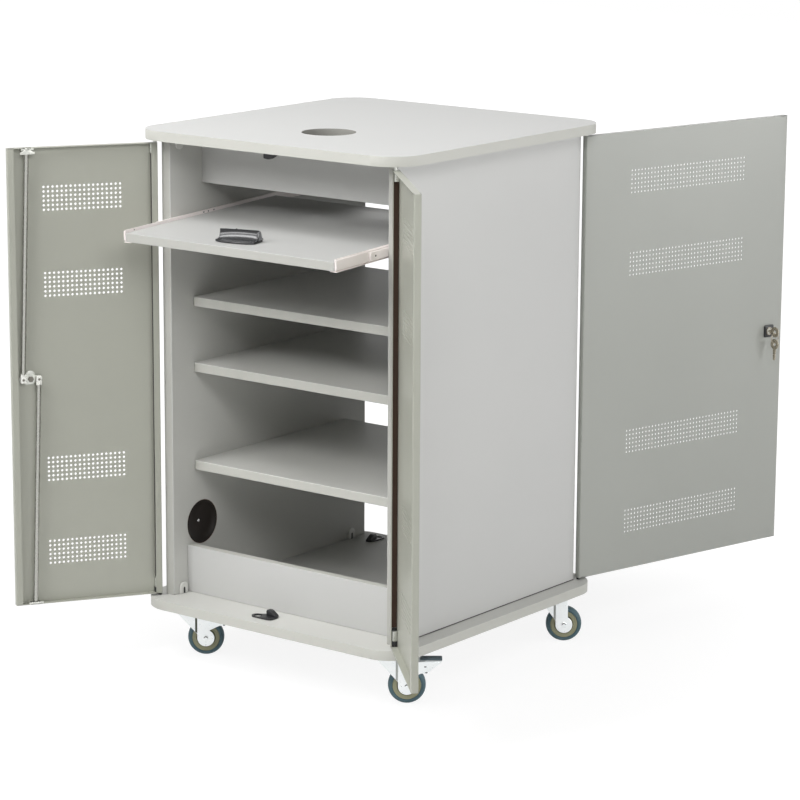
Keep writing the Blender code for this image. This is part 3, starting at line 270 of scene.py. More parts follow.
looks = {
    "laminate": {"color": (208, 208, 206), "grain": 900.0, "spread": 0.035, "rough": (0.38, 0.50),
                 "bump": 0.06, "driftColor": (202, 203, 201), "driftAmount": 0.35},
    "insideLaminate": {"color": (207, 207, 203), "grain": 900.0, "spread": 0.035, "rough": (0.44, 0.56),
                       "bump": 0.06, "driftColor": (201, 201, 197), "driftAmount": 0.35, "specular": 0.22},
    # painted highlight for the upper front edges of the shelves
    "edgeLine": {"color": (232, 232, 228), "grain": 900.0, "spread": 0.03, "rough": (0.40, 0.50),
                 "bump": 0.04},
    "edgeBand": {"color": (203, 203, 196), "grain": 700.0, "spread": 0.03, "rough": (0.40, 0.52),
                 "bump": 0.05, "stretch": (1.0, 1.0, 4.0)},
    "frontBand": {"color": (191, 191, 185), "grain": 700.0, "spread": 0.03, "rough": (0.40, 0.52),
                  "bump": 0.05, "stretch": (1.0, 1.0, 4.0)},
    "pullLaminate": {"color": (193, 193, 191), "grain": 900.0, "spread": 0.035, "rough": (0.40, 0.52),
                     "bump": 0.06, "driftColor": (188, 189, 187), "driftAmount": 0.35},
    "doorPaint": {"color": (176, 177, 166), "grain": 1300.0, "spread": 0.025, "rough": (0.30, 0.40),
                  "bump": 0.07, "driftColor": (171, 172, 161), "driftAmount": 0.3},
    "rearPaint": {"color": (174, 176, 170), "grain": 1300.0, "spread": 0.025, "rough": (0.30, 0.40),
                  "bump": 0.07, "driftColor": (164, 166, 160), "driftAmount": 0.3},
    "runnerPaint": {"color": (244, 236, 233), "grain": 1100.0, "spread": 0.03, "rough": (0.32, 0.44),
                    "bump": 0.05},
    "blackPlastic": {"color": (34, 35, 37), "grain": 1400.0, "spread": 0.10, "rough": (0.34, 0.46),
                     "bump": 0.10},
    "dish": {"color": (38, 33, 30), "grain": 1200.0, "spread": 0.10, "rough": (0.50, 0.62), "bump": 0.06,
             "specular": 0.25},
    "glossBlack": {"color": (28, 29, 32), "grain": 500.0, "spread": 0.08, "rough": (0.18, 0.28),
                   "bump": 0.03, "coat": 0.15},
    # painted light: grey for the lit right end of the black pull handle
    "endCap": {"color": (122, 123, 126), "grain": 700.0, "spread": 0.05, "rough": (0.35, 0.45),
               "bump": 0.04},
    "whitePlastic": {"color": (226, 226, 222), "grain": 900.0, "spread": 0.03, "rough": (0.36, 0.48),
                     "bump": 0.05},
    "zinc": {"color": (208, 209, 202), "grain": 260.0, "detail": 5.0, "spread": 0.07, "rough": (0.24, 0.40),
             "bump": 0.04, "metal": 0.85, "driftColor": (194, 197, 194), "driftAmount": 0.5, "drift": 60.0},
    "forkZinc": {"color": (243, 246, 246), "grain": 260.0, "detail": 5.0, "spread": 0.04,
                 "rough": (0.26, 0.38), "bump": 0.03, "metal": 0.8, "driftColor": (234, 239, 241),
                 "driftAmount": 0.5, "drift": 60.0},
    "rodSteel": {"color": (178, 178, 172), "grain": 420.0, "spread": 0.06, "rough": (0.20, 0.32),
                 "bump": 0.05, "metal": 0.9, "stretch": (1.0, 1.0, 0.12)},
    "eyeBlock": {"color": (232, 232, 226), "grain": 420.0, "spread": 0.05, "rough": (0.22, 0.34),
                 "bump": 0.04, "metal": 0.5},
    "nickel": {"color": (172, 164, 148), "grain": 600.0, "spread": 0.08, "rough": (0.20, 0.34),
               "bump": 0.04, "metal": 0.7},
    "darkSteel": {"color": (70, 70, 68), "grain": 600.0, "spread": 0.10, "rough": (0.35, 0.5), "bump": 0.05,
                  "metal": 0.8},
    "tyre": {"color": (78, 104, 111), "grain": 800.0, "spread": 0.06, "rough": (0.50, 0.64), "bump": 0.12,
             "driftColor": (66, 88, 98), "driftAmount": 0.4, "drift": 40.0},
    "holeWall": {"color": (150, 149, 143), "grain": 500.0, "spread": 0.08, "rough": (0.55, 0.7),
                 "bump": 0.15},
    "rawBoard": {"color": (116, 84, 62), "grain": 700.0, "spread": 0.20, "rough": (0.7, 0.85), "bump": 0.25},
    # painted shade for the inside of the right door's hinge channel
    "seal": {"color": (88, 70, 60), "grain": 900.0, "spread": 0.18, "rough": (0.7, 0.9), "bump": 0.25,
             "stretch": (1.0, 1.0, 0.3), "specular": 0.2},
    # painted shade where the casters' webs meet their strips, dark, and a paler copy for the lit right casters
    "seam": {"color": (84, 88, 74), "grain": 800.0, "spread": 0.10, "rough": (0.6, 0.75), "bump": 0.1},
    "paleSeam": {"color": (196, 200, 196), "grain": 800.0, "spread": 0.06, "rough": (0.5, 0.65),
                 "bump": 0.1},
    "nutSteel": {"color": (124, 122, 114), "grain": 600.0, "spread": 0.08, "rough": (0.3, 0.42),
                 "bump": 0.05, "metal": 0.7},
    "jointShade": {"color": (74, 73, 70), "grain": 700.0, "spread": 0.12, "rough": (0.7, 0.85), "bump": 0.1,
                   "specular": 0.2},
    "brightSteel": {"color": (236, 238, 238), "grain": 500.0, "spread": 0.04, "rough": (0.12, 0.22),
                    "bump": 0.03, "metal": 1.0},
    "hub": {"color": (154, 153, 124), "grain": 900.0, "spread": 0.05, "rough": (0.42, 0.55), "bump": 0.06},
    "pedal": {"color": (80, 94, 101), "grain": 900.0, "spread": 0.06, "rough": (0.45, 0.6), "bump": 0.12},
}
mats = {name: makeMaterial(name, look) for name, look in looks.items()}
print("materials made:", len(mats))


# boards

boards = {"corner": 0.071, "edge": 0.0014, "holeRadius": 0.0545, "holeY": -0.141, "steps": 20,
          "plankEdge": 0.0009, "shelfEdge": 0.0013, "shelfCorner": 0.007, "grommetHole": 0.0430}


def fillLoops(bm, loops):
    # Fills a flat outline, leaving the loops inside it open.
    edges = []
    for loop in loops:
        verts = [bm.verts.new(point) for point in loop]
        edges += [bm.edges.new((a, b)) for a, b in zip(verts, verts[1:] + verts[:1])]
    bmesh.ops.triangle_fill(bm, use_beauty=True, use_dissolve=False, edges=edges)


def drawOut(bm, step):
    # Draws a flat face region out into a solid.
    out = bmesh.ops.extrude_face_region(bm, geom=list(bm.faces))
    lifted = [g for g in out["geom"] if isinstance(g, bmesh.types.BMVert)]
    bmesh.ops.translate(bm, vec=step, verts=lifted)
    bmesh.ops.recalc_face_normals(bm, faces=bm.faces)


def drillPlate(bm, loops, low, high):
    # A level plate between two heights; the loops after the first are holes through it.
    fillLoops(bm, [[(x, y, low) for x, y in loop] for loop in loops])
    drawOut(bm, (0, 0, high - low))


def ringPoints(x, y, radius, steps):
    return arcPoints(x, y, radius, 0, 360 - 360 / steps, steps - 1)


def flatBoard(name, low, high, node, holes=()):
    halfX, halfY = cart["width"] / 2, cart["depth"] / 2
    bm = bmesh.new()
    outline = roundedOutline(-halfX, -halfY, halfX, halfY, boards["corner"], boards["steps"])
    loops = [outline] + [ringPoints(x, y, r, 64) for x, y, r in holes]
    drillPlate(bm, loops, low, high)
    for face in bm.faces:
        if abs(face.normal.z) < 0.5:
            middle = face.calc_center_median()
            inHole = any(math.hypot(middle.x - x, middle.y - y) < 1.1 * r for x, y, r in holes)
            face.smooth = True
            face.material_index = 2 if inHole else 1
        elif node == "base_board" and face.normal.z > 0.5:
            face.material_index = 3
    soften(bm, boards["edge"], 3, 60)
    keepFlat(bm)
    finishes = ["laminate", "edgeBand", "holeWall", "insideLaminate"]
    makePiece(name, bm, "cabinet", finishes, [node], toCart, flat=True)


flatBoard("topBoard", topLow.z, topHigh.z, "top_board", [(0.0, boards["holeY"], boards["holeRadius"])])
flatBoard("baseBoard", baseLow.z, baseHigh.z, "base_board")


def plank(name, node, bandAxes, edge=boards["plankEdge"], corner=0.0, band="edgeBand", inside=None):
    # A straight board with banded edges facing the given axes and, on shelves, eased front corners.
    low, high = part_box(node)
    bm = bmesh.new()
    outline = [(high.x, high.y), (low.x, high.y)]
    if corner:
        outline += arcPoints(low.x + corner, low.y + corner, corner, 180, 270, 8)
        outline += arcPoints(high.x - corner, low.y + corner, corner, 270, 360, 8)
    else:
        outline += [(low.x, low.y), (high.x, low.y)]
    addPrism(bm, outline, low.z, high.z)
    for face in bm.faces:
        frontCorner = corner and abs(face.normal.z) < 0.1 and face.normal.y < -0.05
        if frontCorner or any(abs(face.normal[axis]) > 0.9 for axis in bandAxes):
            face.material_index = 1
        elif inside and face.normal.dot(inside) > 0.9:
            face.material_index = 2
        if frontCorner:
            face.smooth = True
    soften(bm, edge, 3, 60)
    keepFlat(bm)
    if corner:
        # painted highlight: the front's upper edge gets a lighter finish where it catches the light
        for face in bm.faces:
            if face.normal.z > 0.3 and face.normal.y < -0.2:
                face.material_index = 3
    first = "insideLaminate" if corner else "laminate"
    finishes = [first, band, "insideLaminate", "edgeLine"]
    makePiece(name, bm, "cabinet", finishes, [node], None, flat=True)


for nodeName in ("shelf_upper", "shelf_middle", "shelf_lower"):
    plank(nodeName.replace("_", "") + "Board", nodeName, (1,), boards["shelfEdge"], boards["shelfCorner"])
plank("topRailBoard", "top_rail", (2,))
plank("kickPanelBoard", "kick_panel", (2,))
plank("sidePanelRightBoard", "side_panel_right", (1,), band="frontBand", inside=Vector((-1, 0, 0)))


def leftPanel():
    # The left panel, with the round hole that the grommet sits in.
    grommetLow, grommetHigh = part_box("side_grommet")
    centre = (grommetLow + grommetHigh) / 2
    low, high = panelLow, panelHigh
    bm = bmesh.new()
    loops = [[(low.y, low.z), (high.y, low.z), (high.y, high.z), (low.y, high.z)],
             ringPoints(centre.y, centre.z, boards["grommetHole"], 48)]
    fillLoops(bm, [[(low.x, y, z) for y, z in loop] for loop in loops])
    drawOut(bm, (high.x - low.x, 0, 0))
    for face in bm.faces:
        if abs(face.normal.y) > 0.9 and abs(face.calc_center_median().z - centre.z) > 0.05:
            face.material_index = 1
        elif face.normal.x > 0.9:
            face.material_index = 2
    soften(bm, boards["plankEdge"], 3, 60)
    keepFlat(bm)
    finishes = ["laminate", "frontBand", "insideLaminate"]
    makePiece("sidePanelLeftBoard", bm, "cabinet", finishes, ["side_panel_left"], None,
              flat=True)
    return centre


grommetCentre = leftPanel()


# sizes of the painted shadow lines along the panels
panelShadowSizes = {"half": 0.0004, "inset": 0.001, "foot": 0.0016, "head": 0.001}


def panelShadowLines():
    # Narrow dark strips of painted shadow along the outside of the panels, at the base and under the top.
    bm = bmesh.new()
    for node, side in (("side_panel_left", -1), ("side_panel_right", 1)):
        low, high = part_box(node)
        face = low.x if side < 0 else high.x
        x0, x1 = face - panelShadowSizes["half"], face + panelShadowSizes["half"]
        y0, y1 = low.y + panelShadowSizes["inset"], high.y - panelShadowSizes["inset"]
        for z0, z1 in ((low.z, low.z + panelShadowSizes["foot"]), (high.z - panelShadowSizes["head"], high.z)):
            addBox(bm, (x0, y0, z0), (x1, y1, z1))
    makePiece("panelJointLines", bm, "cabinet", "jointShade")


panelShadowLines()
print("boards made")


# side grommet: a black dish let into the panel, a screw in its floor, raw board showing beside its rim

grommet = {"radius": 0.0425, "rim": 0.0454, "floor": -0.0090, "under": -0.0108}


def sideGrommet():
    radius, rim, floor, under = (grommet[k] for k in ("radius", "rim", "floor", "under"))
    profile = [(0, floor), (0.020, floor + 0.0001), (0.028, floor + 0.0006), (0.034, floor + 0.0018),
               (0.039, floor + 0.0042), (0.0420, floor + 0.0076), (0.0434, 0.0004), (rim - 0.0010, 0.0012),
               (rim, 0.0009), (rim, 0.0003), (radius, 0.0003), (radius, under), (0, under)]
    turn = moved(panelHigh.x, grommetCentre.y, grommetCentre.z) @ turned(90, "Y")
    bm = bmesh.new()
    addLathe(bm, profile, 64, turn)
    makePiece("sideGrommetDish", bm, "cabinet", "dish", ["side_grommet"], None)
    bm = bmesh.new()
    addLathe(bm, [(0, 0.0015), (0.0016, 0.0013), (0.0028, 0.0008), (0.0034, 0.0001), (0, 0.0001)], 24,
             turn @ moved(0, 0, floor))
    makePiece("sideGrommetScrew", bm, "cabinet", "brightSteel")
    bm = bmesh.new()
    outer = ringPoints(grommetCentre.y + 0.0009, grommetCentre.z - 0.0003, rim + 0.0008, 64)
    hole = ringPoints(grommetCentre.y, grommetCentre.z, rim, 64)
    fillLoops(bm, [[(panelHigh.x + 0.00005, y, z) for y, z in loop] for loop in (outer, hole)])
    drawOut(bm, (0.0002, 0, 0))
    makePiece("sideGrommetRawEdge", bm, "cabinet", "rawBoard")


sideGrommet()


# geometry nodes: one tree lays out perforations, the other repeats a fitting on points

def nodeTree(name, sockets):
    tree = bpy.data.node_groups.new(name, "GeometryNodeTree")
    tree.interface.new_socket("Geometry", in_out="INPUT", socket_type="NodeSocketGeometry")
    ids = {}
    for label, kind in sockets:
        ids[label] = tree.interface.new_socket(label, in_out="INPUT", socket_type=kind).identifier
    tree.interface.new_socket("Geometry", in_out="OUTPUT", socket_type="NodeSocketGeometry")
    return tree, ids


def closeTree(tree, start, placed):
    # Makes the placed instances real, paints them and hands them out.
    solid = tree.nodes.new("GeometryNodeRealizeInstances")
    paint = tree.nodes.new("GeometryNodeSetMaterial")
    end = tree.nodes.new("NodeGroupOutput")
    wire(tree.links, (placed, "Instances", solid, 0), (solid, 0, paint, "Geometry"),
         (start, "Finish", paint, "Material"), (paint, "Geometry", end, "Geometry"))


def perforationTree():
    tree, ids = nodeTree("perforation", [("Columns", "NodeSocketInt"), ("Rows", "NodeSocketInt"),
                                         ("Pitch", "NodeSocketFloat"), ("Cell", "NodeSocketObject"),
                                         ("Finish", "NodeSocketMaterial")])
    nodes = tree.nodes
    start = nodes.new("NodeGroupInput")
    grid = nodes.new("GeometryNodeMeshGrid")
    for label, size, count in (("Columns", "Size X", "Vertices X"), ("Rows", "Size Y", "Vertices Y")):
        less = addNode(nodes, "ShaderNodeMath", {1: 1.0}, operation="SUBTRACT")
        times = addNode(nodes, "ShaderNodeMath", operation="MULTIPLY")
        wire(tree.links, (start, label, less, 0), (less, 0, times, 0), (start, "Pitch", times, 1),
             (times, 0, grid, size), (start, label, grid, count))
    patches = nodes.new("GeometryNodeInstanceOnPoints")
    spread = nodes.new("GeometryNodeRealizeInstances")
    cell = nodes.new("GeometryNodeObjectInfo")
    holes = nodes.new("GeometryNodeInstanceOnPoints")
    wire(tree.links, (start, "Geometry", patches, "Points"), (grid, "Mesh", patches, "Instance"),
         (patches, "Instances", spread, 0), (spread, 0, holes, "Points"), (start, "Cell", cell, "Object"),
         (cell, "Geometry", holes, "Instance"))
    closeTree(tree, start, holes)
    return tree, ids


def repeatTree():
    tree, ids = nodeTree("repeat", [("Fitting", "NodeSocketObject"), ("Finish", "NodeSocketMaterial")])
    nodes = tree.nodes
    start = nodes.new("NodeGroupInput")
    fitting = nodes.new("GeometryNodeObjectInfo")
    turn = addNode(nodes, "GeometryNodeInputNamedAttribute", {"Name": "turn"}, data_type="FLOAT_VECTOR")
    placed = nodes.new("GeometryNodeInstanceOnPoints")
    wire(tree.links, (start, "Geometry", placed, "Points"), (start, "Fitting", fitting, "Object"),
         (fitting, "Geometry", placed, "Instance"), (turn, "Attribute", placed, "Rotation"))
    closeTree(tree, start, placed)
    return tree, ids


perforation = perforationTree()
repeat = repeatTree()


def helper(name, bm):
    mesh = bpy.data.meshes.new(name)
    bm.to_mesh(mesh)
    bm.free()
    obj = bpy.data.objects.new(name, mesh)
    bpy.context.scene.collection.objects.link(obj)
    return obj


def runTree(treeAndIds, points, values, turns=None):
    # Runs a tree on loose points and hands back its result as a plain mesh.
    tree, ids = treeAndIds
    bm = bmesh.new()
    for point in points:
        bm.verts.new(point)
    obj = helper("points", bm)
    if turns is not None:
        layer = obj.data.attributes.new("turn", "FLOAT_VECTOR", "POINT")
        layer.data.foreach_set("vector", [c for turn in turns for c in turn])
    modifier = obj.modifiers.new("layout", "NODES")
    modifier.node_group = tree
    for label, value in values.items():
        modifier[ids[label]] = value
    bpy.context.view_layer.update()
    graph = bpy.context.evaluated_depsgraph_get()
    mesh = bpy.data.meshes.new_from_object(obj.evaluated_get(graph))
    obj.modifiers.remove(modifier)
    bpy.data.objects.remove(obj, do_unlink=True)
    mesh.materials.clear()
    for layer in list(mesh.attributes):
        if layer.name == "turn":
            mesh.attributes.remove(layer)
    return mesh


# doors: folded trays, perforated in patches

doors = {"sheet": 0.0012, "thick": 0.014, "lip": 0.0135, "fold": 0.0022, "strip": 0.022, "hinge": 0.0045,
         "skin": 0.0085, "footGap": 0.0045, "headGap": 0.0085, "flangeIn": 0.00132, "pitch": 0.0092,
         "rows": 6, "patchHeights": (0.363, 0.1895, -0.1895, -0.363), "slotHalf": 0.0092,
         "slotDepth": 0.0065, "lockIn": 0.040}
doors["bottom"] = cart["baseTop"] + doors["footGap"]
doors["top"] = cart["topUnder"] - doors["headGap"]
doorList = [
    {"name": "frontDoorLeft", "node": "front_door_left", "body": "left_front_door", "angle": -122.8,
     "toward": 1, "inward": 1, "width": 0.3065, "columns": 18, "lock": "front", "paint": "doorPaint",
     "holeRadius": 0.0025},
    {"name": "frontDoorRight", "node": "front_door_right", "body": "right_front_door", "angle": 135.1,
     "toward": -1, "inward": 1, "width": 0.3065, "columns": 18, "lock": None, "paint": "doorPaint",
     "holeRadius": 0.0025},
    {"name": "rearDoor", "node": "rear_door", "body": "back_door", "angle": -104.1,
     "toward": -1, "inward": -1, "width": 0.575, "columns": 36, "lock": "rear", "paint": "rearPaint",
     "holeRadius": 0.0020},
]
doorMiddle = (doors["bottom"] + doors["top"]) / 2


def doorSpace(door):
    # A door's own axes: s from the hinge edge, t in from the skin, z up.
    pivot = jointAt[door["body"] + "_hinge"]
    local = Matrix(((door["toward"], 0, 0, -door["toward"] * doors["hinge"]),
                    (0, door["inward"], 0, -door["inward"] * doors["skin"]), (0, 0, 1, 0), (0, 0, 0, 1)))
    return moved(pivot.x, pivot.y, 0) @ turned(door["angle"], "Z") @ local


def perforatedCell(radius):
    # One square of sheet with a round hole, open at its rim.
    half, sheet = doors["pitch"] / 2, doors["sheet"]
    count = 12  # points round the hole; a corner lies between the second and third of every three
    bm = bmesh.new()
    rings = {}
    for level in (0.0, sheet):
        for kind in ("rim", "hole"):
            ring = []
            for i in range(count):
                a = 2 * math.pi * i / count
                x, y = math.cos(a), math.sin(a)
                k = half / max(abs(x), abs(y)) if kind == "rim" else radius
                ring.append(bm.verts.new((x * k, y * k, level)))
            rings[kind, level] = ring
    corners = {}
    for level in (0.0, sheet):
        for i, (x, y) in enumerate(((half, half), (-half, half), (-half, -half), (half, -half))):
            corners[i, level] = bm.verts.new((x, y, level))
    for level in (0.0, sheet):
        rim, hole = rings["rim", level], rings["hole", level]
        for i in range(count):
            j = (i + 1) % count
            face = [rim[i], rim[j], hole[j], hole[i]]
            if i % 3 == 1:
                face.insert(1, corners[i // 3, level])
            bm.faces.new(face)
    near, far = rings["hole", 0.0], rings["hole", sheet]
    for i in range(count):
        j = (i + 1) % count
        bm.faces.new((near[i], near[j], far[j], far[i]))
    bmesh.ops.recalc_face_normals(bm, faces=bm.faces)
    if sum(f.normal.z for f in bm.faces if f.calc_center_median().z < 1e-6) > 0:
        bmesh.ops.reverse_faces(bm, faces=bm.faces)
    return helper("cell", bm)


def makeDoor(door):
    sheet, thick, lip, fold = doors["sheet"], doors["thick"], doors["lip"], doors["fold"]
    low, high, width, strip = doors["bottom"], doors["top"], door["width"], doors["strip"]
    bm = bmesh.new()
    # folded side edges
    edge = ([(lip, thick)] + arcPoints(fold, thick - fold, fold, 90, 180, 5)
            + arcPoints(fold, fold, fold, 180, 270, 5)
            + [(strip, 0.0), (strip, sheet)] + arcPoints(fold, fold, fold - sheet, 270, 180, 5)
            + arcPoints(fold, thick - fold, fold - sheet, 180, 90, 5) + [(lip, thick - sheet)])
    addPrism(bm, edge, low, high)
    addPrism(bm, [(width - s, t) for s, t in edge], low, high)
    # skin between them, with a window for each perforated patch
    spanHalf = door["columns"] * doors["pitch"] / 2
    riseHalf = doors["rows"] * doors["pitch"] / 2
    middle = width / 2
    across = [strip, middle - spanHalf, middle + spanHalf, width - strip]
    windows = sorted((doorMiddle + h - riseHalf, doorMiddle + h + riseHalf) for h in doors["patchHeights"])
    upward = [low + sheet] + [v for w in windows for v in w] + [high - sheet]
    for t, flip in ((0.0, False), (sheet, True)):
        grid = [[bm.verts.new((s, t, z)) for s in across] for z in upward]
        for row in range(len(upward) - 1):
            for col in range(3):
                if col == 1 and row % 2 == 1:
                    continue
                quad = [grid[row][col], grid[row][col + 1], grid[row + 1][col + 1], grid[row + 1][col]]
                bm.faces.new(quad[::-1] if flip else quad)
    # top and bottom flanges, notched where the rods pass
    inset = doors["flangeIn"]
    flange = [(inset, 0.0), (width - inset, 0.0), (width - inset, thick)]
    if door["lock"]:
        lock = width - doors["lockIn"]
        half, depth = doors["slotHalf"], doors["slotDepth"]
        flange += [(lock + half, thick), (lock + half, depth), (lock - half, depth), (lock - half, thick)]
    flange += [(inset, thick)]
    for z in (low, high - sheet):
        addPrism(bm, flange, z, z + sheet)
    matrix, body, paint = doorSpace(door), door["body"], door["paint"]
    makePiece(door["name"] + "Tray", bm, body, paint, [door["node"]], matrix)
    # perforations
    points = [(middle, doorMiddle + h, 0.0) for h in doors["patchHeights"]]
    cell = perforatedCell(door["holeRadius"])
    mesh = runTree(perforation, points, {"Columns": door["columns"], "Rows": doors["rows"],
                                         "Pitch": doors["pitch"], "Cell": cell, "Finish": mats[paint]})
    bpy.data.objects.remove(cell, do_unlink=True)
    makeFromMesh(door["name"] + "Perforations", mesh, body, paint, (), matrix @ upright)


# pivots: how far each block reaches into the tray, the gap to its board, the collar's height
pivotEnds = {"Foot": {"up": -1, "reach": 0.0120, "gap": doors["footGap"], "collar": 0.0042,
                      "finish": "blackPlastic"},
             "Head": {"up": 1, "reach": 0.0206, "gap": doors["headGap"], "collar": 0.002, "finish": "zinc"}}
# their boxes from above, the foot block's tall column, the pin, the gap to the painted shade strips
pivots = {"block": ((0.0016, 0.0016), (0.0148, 0.0115)), "column": ((0.0016, 0.0017), (0.0052, 0.0114)),
          "plate": ((0.0056, 0.0018), (0.0146, 0.0110)), "clear": 0.0016, "columnHeight": 0.0365,
          "plateFoot": 0.0003, "plateHead": 0.004, "pin": 0.0027, "collar": 0.004, "pinPast": 0.0058,
          "trimGap": 0.001}


def pivotBox(bm, kind, low, high):
    (s0, t0), (s1, t1) = pivots[kind]
    addBox(bm, (s0, t0, low), (s1, t1, high))


def makePivots(door):
    # Pivot blocks with their pins, black at the foot and plated at the head.
    matrix, foot = doorSpace(door), doors["bottom"]
    for label, end in pivotEnds.items():
        up, top = end["up"], end["collar"]
        z = doors["top"] if up > 0 else foot
        inner = z - up * end["reach"]
        bm = bmesh.new()
        pivotBox(bm, "block", z - up * pivots["clear"], inner)
        if label == "Foot":
            pivotBox(bm, "column", inner, z - up * pivots["columnHeight"])
        soften(bm, 0.0006)
        pin, ring, tip = pivots["pin"], pivots["collar"], end["gap"] + pivots["pinPast"]
        profile = [(0, tip), (pin - 0.0005, tip), (pin, tip - 0.0006), (pin, top), (ring, top), (ring, 0),
                   (0, 0)]
        addLathe(bm, [(r, up * h) for r, h in profile], 20, moved(doors["hinge"], doors["skin"], z))
        makePiece(door["name"] + "Pivot" + label, bm, door["body"], end["finish"], (), matrix)
    # plated bearing plate beside the foot block's column
    bm = bmesh.new()
    pivotBox(bm, "plate", foot + pivotEnds["Foot"]["reach"] + pivots["plateFoot"],
             foot + pivots["columnHeight"] - pivots["plateHead"])
    soften(bm, 0.0008, 3)
    makePiece(door["name"] + "PivotPlate", bm, door["body"], "zinc", (), matrix)


def shadeStripEnds():
    # Where the painted shade strips along a door start and end, clear of both pivot blocks.
    return (doors["bottom"] + pivots["columnHeight"] + pivots["trimGap"],
            doors["top"] - pivotEnds["Head"]["reach"] - pivots["trimGap"])


# tufts on the painted shade strip in the hinge channel
shadeStripTufts = {"tufts": 4, "first": 0.0020, "step": 0.0026, "wide": 0.0013, "short": 0.002, "root": 0.0022,
         "tip": 0.0030}


def hingeShadeStrip(door):
    # Dark strip of painted shade down the inside of the hinge channel, with tufts along it like a brush.
    low, high = shadeStripEnds()
    bm = bmesh.new()
    addPrism(bm, roundedOutline(0.0014, 0.0014, 0.0024, 0.0126, 0.0004, 3), low, high)
    for i in range(shadeStripTufts["tufts"]):
        t = shadeStripTufts["first"] + shadeStripTufts["step"] * i
        addBox(bm, (shadeStripTufts["root"], t, low + shadeStripTufts["short"]),
               (shadeStripTufts["tip"], t + shadeStripTufts["wide"], high - shadeStripTufts["short"]))
    makePiece(door["name"] + "Strip", bm, door["body"], "seal", (), doorSpace(door))


def lipShadowLine(door):
    # Dark strip of painted shadow along the free edge of the hinge-side lip.
    lip, thick = doors["lip"], doors["thick"]
    low, high = shadeStripEnds()
    bm = bmesh.new()
    shadowLine = roundedOutline(lip + 0.0001, thick - 0.0016, lip + 0.0019, thick - 0.0002, 0.0005, 3)
    addPrism(bm, shadowLine, low, high)
    makePiece(door["name"] + "LipBead", bm, door["body"], "jointShade", (), doorSpace(door))


for oneDoor in doorList:
    makeDoor(oneDoor)
    makePivots(oneDoor)
hingeShadeStrip(doorList[1])
lipShadowLine(doorList[0])
print("doors made")


# locks: escutcheon, turning plug with its cam, rods with eyes, end guides

locks = {"throw": 0.016, "rodRadius": 0.0045, "rodDepth": 0.0115, "camFront": 0.0044, "camBack": 0.0066,
         "length": 0.4658, "eyeHalf": 0.0030}
# the bent end guides: plate, its slot and the apron's place
guides = {"front": 0.0014, "back": 0.0198, "rim": 0.0034, "thick": 0.0026, "slotFront": 0.0067,
          "slotBack": 0.0163, "apron": 0.0016, "shade": 0.0040, "shadeThick": 0.0008}


def facing(depth=0.0):
    # Turns a lathe or prism so that its height runs in from the skin.
    return moved(0, depth, 0) @ turned(-90, "X")


def lockSpace(door):
    # From the middle of a lock on its door.
    return doorSpace(door) @ moved(door["width"] - doors["lockIn"], 0, doorMiddle)


def makeLock(door):
    name, body, centre = door["lock"], door["body"], lockSpace(door)
    throw, depth, half = locks["throw"], locks["rodDepth"], locks["eyeHalf"]
    # escutcheon with rounded rim and a collar round the plug
    bm = bmesh.new()
    addPrism(bm, roundedOutline(-0.013, -0.013, 0.013, 0.013, 0.0025, 5), -0.0042, -0.0003, facing())
    soften(bm, 0.0009, 3, 40)
    collar = [(0.0086, -0.0038), (0.0084, -0.0047), (0.0066, -0.0047), (0.0066, -0.0038)]
    paintFaces(bm, addLathe(bm, collar, 40, facing(), True), 1)
    finishes = ["blackPlastic", "nickel"]
    makePiece(name + "LockBody", bm, body, finishes, [name + "_lock_body"], centre)
    # pressed plate behind the cam, arched above it
    bm = bmesh.new()
    arch = arcPoints(0, 0.0060, 0.0105, 0, 180, 16) + [(-0.0105, -0.0115), (0.0105, -0.0115)]
    addPrism(bm, arch, 0.0014, 0.0038, upright)
    soften(bm, 0.0005, 2, 40)
    makePiece(name + "LockPlate", bm, body, "zinc", (), centre)
    # plug, cam plate and pins
    bm = bmesh.new()
    stadium = arcPoints(throw, 0, 0.007, -90, 90, 12) + arcPoints(-throw, 0, 0.007, 90, 270, 12)
    addPrism(bm, stadium, locks["camFront"], locks["camBack"], facing())
    soften(bm, 0.0003, 2, 40)
    plug = [(0, -0.0047), (0.0052, -0.0047), (0.0059, -0.0041), (0.0059, 0.0046), (0, 0.0046)]
    addLathe(bm, plug, 40, facing())
    pinEnd = depth + half + 0.0003
    for side in (-1, 1):
        pin = [(0, 0.0063), (0.0024, 0.0063), (0.0024, pinEnd), (0, pinEnd)]
        addLathe(bm, pin, 20, moved(side * throw, 0, 0) @ facing())
    addLathe(bm, [(0, 0.0064), (0.0088, 0.0064), (0.0088, 0.0074), (0, 0.0074)], 32, facing())
    makePiece(name + "LockCam", bm, name + "_lock", "zinc", [name + "_lock_cam"], centre)
    # nut, rivet heads and the key slot
    bm = bmesh.new()
    nut = [(0, 0.0072), (0.0062, 0.0072), (0.0062, 0.0098), (0.0054, 0.0105), (0, 0.0105)]
    addLathe(bm, nut, 6, facing())
    addLathe(bm, [(0, 0.0104), (0.0030, 0.0104), (0.0028, 0.0118), (0, 0.0120)], 20, facing())
    rivet = [(0, 0.0003), (0.0026, 0.0003), (0.0024, 0.0008), (0.0012, 0.0011), (0, 0.0012)]
    for side in (-1, 1):
        addLathe(bm, rivet, 20, moved(side * throw, 0, 0) @ facing(depth + half))
    addBox(bm, (-0.0006, -0.00476, -0.0036), (0.0006, -0.0046, 0.0036))
    makePiece(name + "LockNut", bm, name + "_lock", "nutSteel", (), centre)


